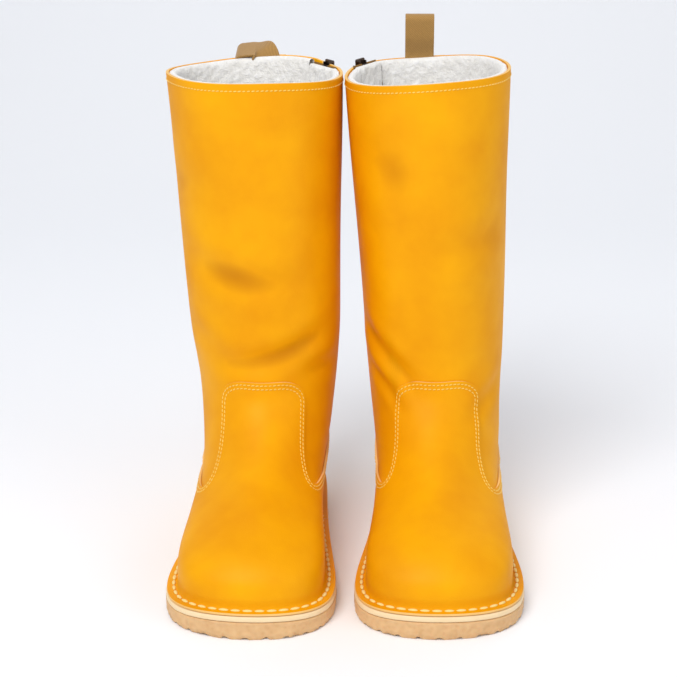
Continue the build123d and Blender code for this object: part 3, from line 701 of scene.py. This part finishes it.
# Fleece: off-white curly pile, about five millimetres deep. It lines foot and leg, and comes up just inside
# the rim's inner edge.
def fleece_material():
    material, tree, shader, place = new_material("fleece_pile", Roughness=0.95, Sheen_Weight=0.5)
    shader.inputs["Sheen Roughness"].default_value = 0.6
    shader.inputs["Specular IOR Level"].default_value = 0.2
    shader.inputs["Subsurface Weight"].default_value = 0.12
    shader.inputs["Subsurface Radius"].default_value = (0.004, 0.004, 0.0035)
    curls = noise(tree, place, 420.0, 5.0, 0.65)
    clumps = noise(tree, place, 95.0, 3.0, 0.6)
    shade = math_node(tree, "MULTIPLY", curls, clumps)
    shade = math_node(tree, "MULTIPLY", shade, 2.4, clamp=True)
    colour = mix_colour(tree, shade, (0.80, 0.77, 0.72, 1), (0.97, 0.96, 0.94, 1))
    dress(tree, shader, colour, math_node(tree, "ADD", curls, clumps), 1.3, 0.9)
    return material


def tuft_field(points, seed, wavelength, waves=36):
    """A smooth random field from -1 to 1 over points in millimetres, the same on every run."""
    random = np.random.default_rng(seed)
    direction = random.normal(size=(waves, 3))
    direction /= np.linalg.norm(direction, axis=1, keepdims=True)
    pace = 2 * pi / (wavelength * random.uniform(0.7, 1.5, waves))
    phase = random.uniform(0, 2 * pi, waves)
    field = np.zeros(points.shape[:-1])
    for k in range(waves):
        field += np.sin(points @ (direction[k] * pace[k]) + phase[k])
    return field / (waves**0.5 * 1.3)


fleece = fleece_material()
LINING_DEPTH = 8.7
# height from the rim and depth, over the lining's rounded top edge
RIM_ROLL = ((-14.0, 3.7), (-2.4, 3.7), (-1.0, 4.2), (-0.3, 5.2), (-0.3, 6.6), (-1.0, 7.8), (-2.6, 8.5))
RIM_ROLL += ((-5.0, LINING_DEPTH),)
LINING_FOOT_Z = 24.0
GUARD_HALF = 14.4
for name, boot in BOOTS.items():
    gap = GUARD_HALF / 52.0
    angle = np.linspace(ZIP_ANGLE + gap, ZIP_ANGLE + 2 * pi - gap, 230)[None, :]
    rim = rim_height(boot, angle)
    roll_z = np.concatenate([rim + z for z, _ in RIM_ROLL])
    roll_depth = np.concatenate([depth + 0 * angle for _, depth in RIM_ROLL])
    level = np.linspace(0, 1, 210)[1:, None]
    down_z = rim + RIM_ROLL[-1][0] + level * (LINING_FOOT_Z - rim - RIM_ROLL[-1][0])
    z = np.concatenate([roll_z, down_z])
    depth = np.concatenate([roll_depth, LINING_DEPTH + 0 * down_z])
    turn = angle + 0 * z
    points = leather(boot, turn, z, depth)
    inward = -last_normal(boot, turn, z)
    pile = tuft_field(points, 11, 6.0) * 0.35 + tuft_field(points, 12, 2.6) * 0.22
    pile[:2] = 0
    points = points + inward * pile[..., None]
    lining = sheet_mesh(f"{name}_fleece_lining", boot, points[::-1])
    lining.data.flip_normals()
    lining.data.materials.append(fleece)
    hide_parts(f"{name}_shaft_lining", f"{name}_foot_lining")
    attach(lining, f"{name}_boot")


# Footbed: a soft pad under the foot, covered in the same fleece, slightly crowned, resting on the insole
# board.
FOOTBED_BASE = SOLE_TOP + 2.8
FOOTBED_TOP = SOLE_TOP + 6.4
CROWN = 2.4
# share of the way from the spine out to the edge, and share of the crown there
PAD_RINGS = ((0.0, 1.0), (0.15, 1.0), (0.4, 0.95), (0.65, 0.85), (0.85, 0.6), (0.95, 0.3), (1.0, 0.0))
for name, boot in BOOTS.items():
    angle = np.linspace(0, 2 * pi, 200, endpoint=False)
    rim_points = leather(boot, angle, np.full(200, 24.0), LINING_DEPTH + 0.3)
    spine = np.stack([0 * rim_points[:, 0], np.clip(rim_points[:, 1], -85, 95), 0 * angle], axis=-1)
    rings = []
    for share, crown in PAD_RINGS:
        ring = spine * (1 - share) + rim_points * share
        base = FOOTBED_TOP + CROWN * crown
        ring[:, 2] = sole_height(ring[:, 1], base) + tuft_field(ring, 13, 5.0) * 0.4
        rings.append(ring)
    for under in (rim_points, spine):
        level = sole_height(under[:, 1], FOOTBED_BASE)
        rings.append(np.concatenate([under[:, :2], level[:, None]], axis=1))
    pad = sheet_mesh(f"{name}_footbed_pad", boot, np.array(rings)[::-1], closed=True)
    shape = bmesh.new()
    shape.from_mesh(pad.data)
    bmesh.ops.remove_doubles(shape, verts=shape.verts, dist=0.00005)
    bmesh.ops.dissolve_degenerate(shape, edges=shape.edges, dist=0.00005)
    bmesh.ops.recalc_face_normals(shape, faces=shape.faces)
    shape.to_mesh(pad.data)
    shape.free()
    pad.data.materials.append(fleece)
    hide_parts(f"{name}_footbed")
    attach(pad, f"{name}_boot")


# Sole: natural crepe underneath, ribbed across, and a smooth cream midsole that the upper is stitched to.
# Crepe is cut from a crinkled sheet, so its side is uneven.
def crepe_material():
    material, tree, shader, place = new_material("natural_crepe", Roughness=0.62)
    shader.inputs["Subsurface Weight"].default_value = 0.15
    shader.inputs["Subsurface Radius"].default_value = (0.004, 0.002, 0.001)
    rounded = dict(feature="SMOOTH_F1")
    crinkle = add(tree, "ShaderNodeTexVoronoi", rounded, Vector=place, Scale=330.0).outputs["Distance"]
    shade = noise(tree, place, 36.0, 4.0, 0.6)
    colour = mix_colour(tree, shade, (0.56, 0.30, 0.12, 1), (0.78, 0.49, 0.23, 1))
    pits = math_node(tree, "MULTIPLY", crinkle, 0.5, clamp=True)
    colour = mix_colour(tree, pits, colour, (0.86, 0.60, 0.32, 1))
    lumps = noise(tree, place, 130.0, 4.0, 0.6)
    dress(tree, shader, colour, math_node(tree, "ADD", crinkle, lumps), 0.45, 0.8)
    return material


def midsole_material():
    material, tree, shader, place = new_material("cream_midsole", Roughness=0.5)
    colour = mix_colour(tree, noise(tree, place, 60.0), (0.84, 0.62, 0.34, 1), (0.92, 0.73, 0.46, 1))
    dress(tree, shader, colour, noise(tree, place, 700.0, 2.0), 0.08, 0.5)
    return material


RIB_PITCH = 9.0
RIB_DEPTH = 1.3
NOTCH_PITCH = 11.0
NOTCH_DEPTH = 1.3
TREAD_INSETS = (38, 34, 30, 26, 22, 18, 14, 10, 6.5, 3.5, 1.6)
CREPE_SIDE = np.linspace(1.8, 8.0, 9)
# inset and height around the midsole's edge, from its underside to its top
MIDSOLE_EDGE = (
    (12.0, 9.1),
    (1.2, 9.1),
    (0.5, 9.4),
    (0.3, 10.0),
    (0.3, 12.0),
    (0.6, 12.7),
    (1.3, 12.95),
    (12.0, 12.95),
)


def rib(y):
    """Ribs across the tread, with the flats of the ribs on the floor."""
    wave = np.cos(2 * pi * (y + 1.0) / RIB_PITCH)
    return RIB_DEPTH * smooth((wave - 0.35) / 0.5)


def ring_height(y, base, ribs=0.0, ramp=None):
    """Height of a ring around the sole, with a share of the ribs. Without a ramp it is level."""
    level = base if ramp is None else sole_height(y, base, ramp)
    return level + ribs * rib(y)


def cap_ends(piece, ring):
    """Closes a tube at both ends, where a ring has so many points."""
    shape = bmesh.new()
    shape.from_mesh(piece.data)
    verts = list(shape.verts)
    shape.faces.new(verts[:ring])
    shape.faces.new(verts[-ring:])
    bmesh.ops.recalc_face_normals(shape, faces=shape.faces)
    shape.to_mesh(piece.data)
    shape.free()


def sole_slab(name, boot, rings, lump, seed, notch=0.0, columns=420):
    """A closed slab from rings around the sole, each an inset and what ring_height takes."""
    angle = np.linspace(0, 2 * pi, columns, endpoint=False)
    grid = []
    for inset, *level in rings:
        x, y = sole_outline(inset, angle)
        grid.append(np.stack([x, y, ring_height(y, *level)], axis=-1))
    grid = np.array(grid)
    run = np.cumsum(np.linalg.norm(np.roll(grid[-1], -1, axis=0) - grid[-1], axis=1))
    teeth = round(run[-1] / NOTCH_PITCH)
    bite = smooth((np.cos(2 * pi * teeth * run / run[-1]) - 0.35) / 0.6)
    insets = np.array([ring[0] for ring in rings])[:, None]
    grid[..., 2] += notch * bite * smooth((9.0 - insets) / 5.0) * smooth((4.0 - grid[..., 2]) / 4.0)
    outward = grid - grid.mean(axis=1, keepdims=True)
    outward[..., 2] = 0
    outward /= np.linalg.norm(outward, axis=-1, keepdims=True)
    uneven = tuft_field(grid, seed, 9.0) * 0.6 + tuft_field(grid, seed + 1, 3.2) * 0.4
    grid += outward * ((uneven - 0.5) * lump * (insets < 3))[..., None]
    slab = sheet_mesh(name, boot, grid, closed=True)
    cap_ends(slab, columns)
    return slab


crepe = crepe_material()
cream = midsole_material()
for name, boot in BOOTS.items():
    tread = [(inset, 0.0, 1.0) for inset in TREAD_INSETS]
    tread += [(0.7, 0.25, 0.8), (0.25, 0.9, 0.5)]
    tread += [(0.12, height, 0.25 * (1 - height / 8), 0.0) for height in CREPE_SIDE]
    tread += [(0.4, 8.7, 0.0, 0.0), (1.4, 8.95, 0.0, 0.0), (10.0, 8.95, 0.0, 0.0)]
    outsole = sole_slab(f"{name}_crepe_outsole", boot, tread, 0.55, 21 + boot["side"], NOTCH_DEPTH)
    outsole.data.materials.append(crepe)
    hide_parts(f"{name}_outsole")
    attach(outsole, f"{name}_boot")

    layers = [(inset, height, 0.0, WEDGE_RISE) for inset, height in MIDSOLE_EDGE]
    midsole = sole_slab(f"{name}_cream_midsole", boot, layers, 0.12, 31)
    midsole.data.materials.append(cream)
    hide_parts(f"{name}_midsole")
    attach(midsole, f"{name}_boot")
    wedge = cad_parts[f"{name}_heel_wedge"]
    wedge.data.materials.clear()
    wedge.data.materials.append(crepe)


# Pull loops: tan twill webbing, twenty millimetres wide, folded in two and sewn in at the back of the rim.
# The left one stands up; the right one has flopped outwards and forwards.
WEB_WIDTH = 20.0
WEB_THICK = 1.3
WEB_COLUMNS = 13
ANCHOR = 12.0
ANCHOR_Y_IN = 5.0
LEG_STEPS = 24
UPRIGHT = 26.0
UPRIGHT_GAP = 3.9
FLOP_GAP = 4.6
FLOP_TURN = 7.5
FLOP_TILT = radians(72)
FLOP_RUN = 9.0
PINCH = 16


def webbing_material():
    material, tree, shader, place = new_material("tan_webbing", Roughness=0.75, Sheen_Weight=0.25)
    uv = tree.nodes.new("ShaderNodeUVMap").outputs["UV"]
    twill = dict(bands_direction="DIAGONAL")
    ribs = add(tree, "ShaderNodeTexWave", twill, Vector=uv, Scale=520.0, Distortion=0.6)
    shade = math_node(tree, "MULTIPLY", ribs.outputs["Fac"], 0.65)
    threads = noise(tree, place, 900.0, 3.0, 0.6)
    shade = math_node(tree, "MULTIPLY_ADD", threads, 0.35, shade)
    colour = mix_colour(tree, shade, (0.22, 0.11, 0.02, 1), (0.56, 0.31, 0.08, 1))
    dress(tree, shader, colour, shade, 0.25, 0.9)
    return material


def strap(name, boot, path, across):
    """Webbing along a path, with its width along the given directions; UVs in metres."""
    columns = np.linspace(-0.5, 0.5, WEB_COLUMNS)[None, :, None]
    grid = path[:, None, :] + across[:, None, :] * columns * WEB_WIDTH
    band = sheet_mesh(name, boot, grid)
    run = np.concatenate([[0.0], np.cumsum(np.linalg.norm(np.diff(path, axis=0), axis=1))])
    corners = np.zeros(len(band.data.loops), int)
    band.data.loops.foreach_get("vertex_index", corners)
    u = (corners % WEB_COLUMNS) / (WEB_COLUMNS - 1) * WEB_WIDTH * MM
    v = run[corners // WEB_COLUMNS] * MM
    band.data.uv_layers[0].data.foreach_set("uv", np.stack([u, v], axis=-1).astype(np.float32).ravel())
    solid = band.modifiers.new("thickness", "SOLIDIFY")
    solid.thickness = WEB_THICK * MM
    solid.offset = 0
    edge = band.modifiers.new("edge", "BEVEL")
    edge.width = 0.3 * MM
    edge.segments = 2
    band.data.materials.append(webbing)
    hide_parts(f"{boot['name']}_pull_loop")
    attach(band, f"{boot['name']}_boot")


def folded_strap(middle, ahead, across, gap):
    """The line of a strap folded in two along a middle line: up one leg, round the bend, down the other."""
    normal = np.cross(ahead, across)
    run = np.concatenate([[0.0], np.cumsum(np.linalg.norm(np.diff(middle, axis=0), axis=1))])
    half = 0.7 + (gap - 0.7) * smooth((run - ANCHOR) / PINCH)
    turn = np.linspace(0, pi, 18)[1:-1, None]
    bend = middle[-1] - normal[-1] * gap * np.cos(turn) + ahead[-1] * gap * np.sin(turn)
    path = np.concatenate([middle - normal * half[:, None], bend, (middle + normal * half[:, None])[::-1]])
    widths = np.concatenate([across, np.repeat(across[-1:], len(bend), axis=0), across[::-1]])
    return path, widths


webbing = webbing_material()
for name, boot in BOOTS.items():
    standing = boot["side"] > 0
    rise = np.linspace(-ANCHOR, UPRIGHT if standing else -1.0, LEG_STEPS)
    middle = [np.array((0.0, -0.02 * max(h, 0.0), h)) for h in rise]
    ahead = [np.array((0.0, 0.0, 1.0))] * LEG_STEPS
    across = [np.array((1.0, 0.0, 0.0))] * LEG_STEPS
    if not standing:
        # turned flat to the outer side, and leaning back as it turns
        for turn in np.linspace(0, pi / 2, LEG_STEPS)[1:]:
            lean = FLOP_TILT * smooth(turn / (pi / 2))
            back = np.array((0.0, sin(lean), cos(lean)))
            place = (1 - cos(turn)) * np.array((FLOP_TURN, 0, 0)) + back * FLOP_TURN * sin(turn)
            middle.append(place + (0.0, 0.0, -1.0))
            ahead.append(np.array((sin(turn), 0, 0)) + back * cos(turn))
            across.append(np.array((cos(turn), 0, 0)) - back * sin(turn))
        turned = middle[-1]
        for step in np.linspace(0, FLOP_RUN, 8)[1:]:
            middle.append(turned + (step, 0.0, -0.12 * step))
            ahead.append(ahead[-1])
            across.append(across[-1])
    heel = SHAFT_FOOT[0] + boot["rim"][1]
    middle = np.array(middle) + np.array((boot["loop_x"], heel - ANCHOR_Y_IN, RIM_Z))
    gap = UPRIGHT_GAP if standing else FLOP_GAP
    path, widths = folded_strap(middle, np.array(ahead), np.array(across), gap)
    strap(f"{name}_pull_loop_webbing", boot, path, widths)


# Zip guard: a fleece-covered flap behind the zip, so that the teeth don't catch what is worn under it.
GUARD_FACE = -7.6
GUARD_BACK = -2.9
GUARD_ROUND = 1.6
for name, boot in BOOTS.items():
    origin, axes = boot["zip"]
    length = (RIM_Z - origin[2]) / axes[1][2] - 1.0
    half = GUARD_HALF - GUARD_ROUND
    middle_n = (GUARD_FACE + GUARD_BACK) / 2
    flat = np.linspace(-half, half, 26)
    curl = np.linspace(-pi / 2, pi / 2, 9)[1:-1]
    deep = (GUARD_BACK - GUARD_FACE) / 2
    profile = [(t, GUARD_FACE) for t in flat]
    profile += [(half + GUARD_ROUND * cos(a), middle_n + deep * sin(a)) for a in curl]
    profile += [(t, GUARD_BACK) for t in flat[::-1]]
    profile += [(-half - GUARD_ROUND * cos(a), middle_n - deep * sin(a)) for a in curl]
    profile = np.array(profile)
    rows = []
    for s in np.linspace(-3.0, length, 170):
        end = 1 - 0.35 * smooth((s - length + 1.5) / 1.5)
        level = middle_n + (profile[:, 1] - middle_n) * end
        rows.append(np.stack([profile[:, 0], 0 * profile[:, 0] + s, level], axis=-1))
    grid = np.array(rows)
    fuzz = tuft_field(grid, 41, 6.0) * 0.35 + tuft_field(grid, 42, 2.6) * 0.2
    grid[..., 2] += fuzz * (grid[..., 2] < middle_n)
    guard = sheet_mesh(f"{name}_zip_guard_fleece", boot, grid @ axes + origin, closed=True)
    cap_ends(guard, len(profile))
    guard.data.materials.append(fleece)
    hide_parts(f"{name}_zip_guard")
    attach(guard, f"{name}_boot")


# Zip: woven ochre tapes sewn behind the facings, and teeth, stops, slider and pull of dark antique metal,
# with a patchy tarnish.
def metal_material():
    material, tree, shader, place = new_material("antique_metal", Metallic=1.0)
    tarnish = noise(tree, place, 260.0, 5.0, 0.6)
    colour = mix_colour(tree, tarnish, (0.05, 0.035, 0.03, 1), (0.16, 0.12, 0.10, 1))
    tree.links.new(math_node(tree, "MULTIPLY_ADD", tarnish, 0.4, 0.18), shader.inputs["Roughness"])
    dress(tree, shader, colour, noise(tree, place, 1400.0, 3.0, 0.6), 0.05, 0.5)
    return material


def tape_material():
    material, tree, shader, place = new_material("woven_zip_tape", Roughness=0.85)
    upright = dict(bands_direction="Z")
    ribs = add(tree, "ShaderNodeTexWave", upright, Vector=place, Scale=420.0, Distortion=1.5)
    shade = math_node(tree, "MULTIPLY", ribs.outputs["Fac"], noise(tree, place, 1100.0, 2.0, 0.6))
    colour = mix_colour(tree, shade, (0.22, 0.11, 0.02, 1), (0.42, 0.24, 0.06, 1))
    dress(tree, shader, colour, shade, 0.2, 0.8)
    return material


metal = metal_material()
tape = tape_material()


# Inside the boot: leatherboard under the footbed, behind the heel and over the toes, a dense brown fibre
# board.
def board_material():
    material, tree, shader, place = new_material("leatherboard", Roughness=0.9)
    fibres = noise(tree, place, 240.0, 6.0, 0.7)
    colour = mix_colour(tree, fibres, (0.20, 0.10, 0.045, 1), (0.45, 0.27, 0.14, 1))
    dress(tree, shader, colour, fibres, 0.25, 0.8)
    return material


board = board_material()
KEPT = {
    "zip_tape_front": tape,
    "zip_tape_back": tape,
    "zip_teeth_front": metal,
    "zip_teeth_back": metal,
    "zip_stops": metal,
    "zip_slider": metal,
    "zip_pull": metal,
    "insole_board": board,
    "heel_stiffener": board,
    "toe_puff": board,
}
for name in BOOTS:
    for node, finish in KEPT.items():
        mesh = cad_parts[f"{name}_{node}"].data
        mesh.materials.clear()
        mesh.materials.append(finish)


# Stitches: pale yellow waxed thread. Every row is made by one tree from the line it follows, which lies on
# the leather and carries the direction of the leather's face.
SIZES = ("Pitch", "Length", "Width", "Height")


def stitch_tree():
    tree = bpy.data.node_groups.new("stitch_row", "GeometryNodeTree")
    sockets = [("Geometry", "Geometry")] + [(label, "Float") for label in SIZES + ("Slant", "Uneven")]
    for label, kind in sockets + [("Seed", "Int"), ("Thread", "Material")]:
        tree.interface.new_socket(label, in_out="INPUT", socket_type=f"NodeSocket{kind}")
    tree.interface.new_socket("Geometry", in_out="OUTPUT", socket_type="NodeSocketGeometry")
    given = tree.nodes.new("NodeGroupInput").outputs
    result = tree.nodes.new("NodeGroupOutput").inputs

    line = add(tree, "GeometryNodeMeshToCurve", Mesh=given["Geometry"]).outputs["Curve"]
    by_pitch = dict(mode="LENGTH")
    spaced = add(tree, "GeometryNodeResampleCurve", by_pitch, Curve=line, Length=given["Pitch"])

    tangent = tree.nodes.new("GeometryNodeInputTangent").outputs["Tangent"]
    along = add(tree, "FunctionNodeAlignRotationToVector", dict(axis="X"), Vector=tangent)
    face = add(tree, "GeometryNodeInputNamedAttribute", dict(data_type="FLOAT_VECTOR"), Name="face")
    upright = add(
        tree,
        "FunctionNodeAlignRotationToVector",
        dict(axis="Z", pivot_axis="X"),
        Rotation=along.outputs["Rotation"],
        Vector=face.outputs["Attribute"],
    )
    slant = add(tree, "ShaderNodeCombineXYZ", Z=given["Slant"])
    slant_turn = add(tree, "FunctionNodeEulerToRotation", Euler=slant.outputs["Vector"])
    turned = add(
        tree,
        "FunctionNodeRotateRotation",
        dict(rotation_space="LOCAL"),
        Rotation=upright.outputs["Rotation"],
        Rotate_By=slant_turn.outputs["Rotation"],
    )

    spread = add(tree, "FunctionNodeRandomValue", dict(data_type="FLOAT"), Seed=given["Seed"])
    for index, operation in ((2, "SUBTRACT"), (3, "ADD")):
        connect(tree, spread.inputs[index], math_node(tree, operation, 1.0, given["Uneven"]))
    size = add(tree, "ShaderNodeCombineXYZ", X=given["Length"], Y=given["Width"], Z=given["Height"])
    scale = add(tree, "ShaderNodeVectorMath", dict(operation="SCALE"), Scale=spread.outputs[1])
    connect(tree, scale.inputs[0], size.outputs["Vector"])

    stitch = add(tree, "GeometryNodeMeshUVSphere", Segments=8, Rings=6, Radius=0.5)
    place = add(
        tree,
        "GeometryNodeInstanceOnPoints",
        Points=spaced.outputs["Curve"],
        Instance=stitch.outputs["Mesh"],
        Rotation=turned.outputs["Rotation"],
        Scale=scale.outputs["Vector"],
    )
    made = add(tree, "GeometryNodeRealizeInstances", Geometry=place.outputs["Instances"])
    made = add(tree, "GeometryNodeSetShadeSmooth", Geometry=made.outputs["Geometry"])
    made = add(tree, "GeometryNodeSetMaterial", Geometry=made.outputs["Geometry"], Material=given["Thread"])
    tree.links.new(made.outputs["Geometry"], result["Geometry"])
    return tree


def thread_material(name, light, dark):
    material, tree, shader, place = new_material(name, Roughness=0.55, Sheen_Weight=0.2)
    plied = dict(bands_direction="DIAGONAL")
    twist = add(tree, "ShaderNodeTexWave", plied, Vector=place, Scale=620.0).outputs["Fac"]
    shade = math_node(tree, "MULTIPLY", twist, noise(tree, place, 900.0, 3.0, 0.6))
    dress(tree, shader, mix_colour(tree, shade, dark, light), twist, 0.12, 0.7)
    return material


LIFT = 0.12


def row_on_leather(boot, angle, z, distance, depth):
    """Points and faces of a row beside an edge, at a distance from it, on the leather at a depth."""
    step = 0.004
    here = leather(boot, angle, z, depth)
    turn_way = (leather(boot, angle + step, z, depth) - here) / step
    up_way = leather(boot, angle, z + 1.0, depth) - here
    along = np.gradient(here, axis=0)
    side = np.cross(last_normal(boot, angle, z), along)
    side *= distance / np.linalg.norm(side, axis=-1, keepdims=True)
    ways = np.stack([turn_way, up_way], axis=-1)
    shift = np.array([np.linalg.lstsq(way, move, rcond=None)[0] for way, move in zip(ways, side)])
    angle, z = angle + shift[:, 0], z + shift[:, 1]
    face = last_normal(boot, angle, z)
    return leather(boot, angle, z, depth) + face * LIFT, face


def stitch_rows(name, boot, rows, thread, closed=False, **sizes):
    """One piece with all of a seam's rows, each given as points and faces in the boot's own frame."""
    verts, faces, edges = [], [], []
    for points, face in rows:
        start = len(verts)
        verts += stand(boot, points).tolist()
        turned = (stand(boot, points + face) - stand(boot, points)) / MM
        faces += turned.tolist()
        edges += [(start + k, start + k + 1) for k in range(len(points) - 1)]
        if closed:
            edges.append((start + len(points) - 1, start))
    mesh = bpy.data.meshes.new(name)
    mesh.from_pydata(verts, edges, [])
    layer = mesh.attributes.new("face", "FLOAT_VECTOR", "POINT")
    layer.data.foreach_set("vector", np.array(faces, np.float32).ravel())
    lines = bpy.data.objects.new(name, mesh)
    bpy.context.collection.objects.link(lines)
    maker = lines.modifiers.new("stitches", "NODES")
    maker.node_group = STITCHES
    sockets = {item.name: item.identifier for item in STITCHES.interface.items_tree if item.in_out == "INPUT"}
    for label, value in sizes.items():
        maker[sockets[label]] = value * MM if label in SIZES else value
    maker[sockets["Thread"]] = thread
    bpy.context.view_layer.update()
    made = bpy.data.meshes.new_from_object(lines.evaluated_get(bpy.context.evaluated_depsgraph_get()))
    lines.modifiers.clear()
    lines.data = made
    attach(lines, f"{boot['name']}_boot")
    return lines


STITCHES = stitch_tree()
pale_thread = thread_material("waxed_thread", (1.0, 0.90, 0.46, 1), (0.90, 0.68, 0.20, 1))
gold_thread = thread_material("golden_thread", (1.0, 0.80, 0.24, 1), (0.86, 0.54, 0.06, 1))
ROW_OFFSETS = (2.0, 4.6)
RIM_OFFSET = 4.6
ZIP_ROW = 7.4
ZIP_ROW_FOOT = -6.0
ZIP_ROW_LEVEL = -0.03
STRIP_ROW = STRIP_HALF - 2.2
FINE = dict(Pitch=2.9, Length=2.4, Width=0.85, Height=0.7, Slant=0.16, Uneven=0.08)
WELT = dict(Pitch=7.6, Length=6.5, Width=2.3, Height=1.7, Slant=0.0, Uneven=0.06)
for name, boot in BOOTS.items():
    angle = np.linspace(0, 2 * pi, 480, endpoint=False)
    x, y = sole_outline(5.0, angle)
    welt = np.stack([x, y, sole_height(y, SOLE_TOP + FLANGE + 0.5)], axis=-1)
    up = np.tile((0.0, 0.0, 1.0), (len(welt), 1))
    welt_row = stitch_rows(f"{name}_welt_stitch_row", boot, [(welt, up)], pale_thread, True, Seed=3, **WELT)
    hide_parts(f"{name}_welt_stitches")

    rows = [row_on_leather(boot, *boot["vamp_edge"], offset, 0.0) for offset in ROW_OFFSETS]
    stitch_rows(f"{name}_vamp_stitches", boot, rows, gold_thread, Seed=5, **FINE)

    rows = []
    for edge, side in zip(boot["counter_edges"], (1, 1, -1)):
        rows += [row_on_leather(boot, *edge, side * offset, 0.0) for offset in ROW_OFFSETS]
    stitch_rows(f"{name}_counter_stitches", boot, rows, gold_thread, Seed=7, **FINE)

    seam = back_angle(boot, RIM_Z)
    rows = []
    for angle in (
        np.linspace(seam - 2 * pi + 0.3, ZIP_ANGLE - 0.24, 400),
        np.linspace(ZIP_ANGLE + 0.24, seam - 0.28, 40),
    ):
        rows.append(row_on_leather(boot, angle, rim_height(boot, angle), RIM_OFFSET, OVERLAY + 0.15))
    stitch_rows(f"{name}_rim_stitches", boot, rows, gold_thread, Seed=9, **FINE)

    origin, axes = boot["zip"]
    length = (RIM_Z - origin[2]) / axes[1][2]
    run = np.linspace(ZIP_ROW_FOOT, length - 2.0, 120)
    foot = np.linspace(-ZIP_ROW, ZIP_ROW, 12)
    sides = [(place + 0 * run, run) for place in (-ZIP_ROW, ZIP_ROW)]
    rows = []
    for place, height in sides + [(foot, 0 * foot + ZIP_ROW_FOOT)]:
        line = np.stack([place, height, 0 * place + ZIP_ROW_LEVEL], axis=-1) @ axes + origin
        rows.append((line, np.tile(axes[2], (len(line), 1))))
    stitch_rows(f"{name}_zip_stitches", boot, rows, gold_thread, Seed=11, **FINE)

    level = np.linspace(92.0, RIM_Z - 1.5, 160)
    rows = []
    for side in (-1, 1):
        angle = back_angle(boot, level) + side * STRIP_ROW / LEG_RADIUS
        face = last_normal(boot, angle, level)
        rows.append((leather(boot, angle, level, 0.1) + face * LIFT, face))
    stitch_rows(f"{name}_back_strip_stitches", boot, rows, gold_thread, Seed=13, **FINE)
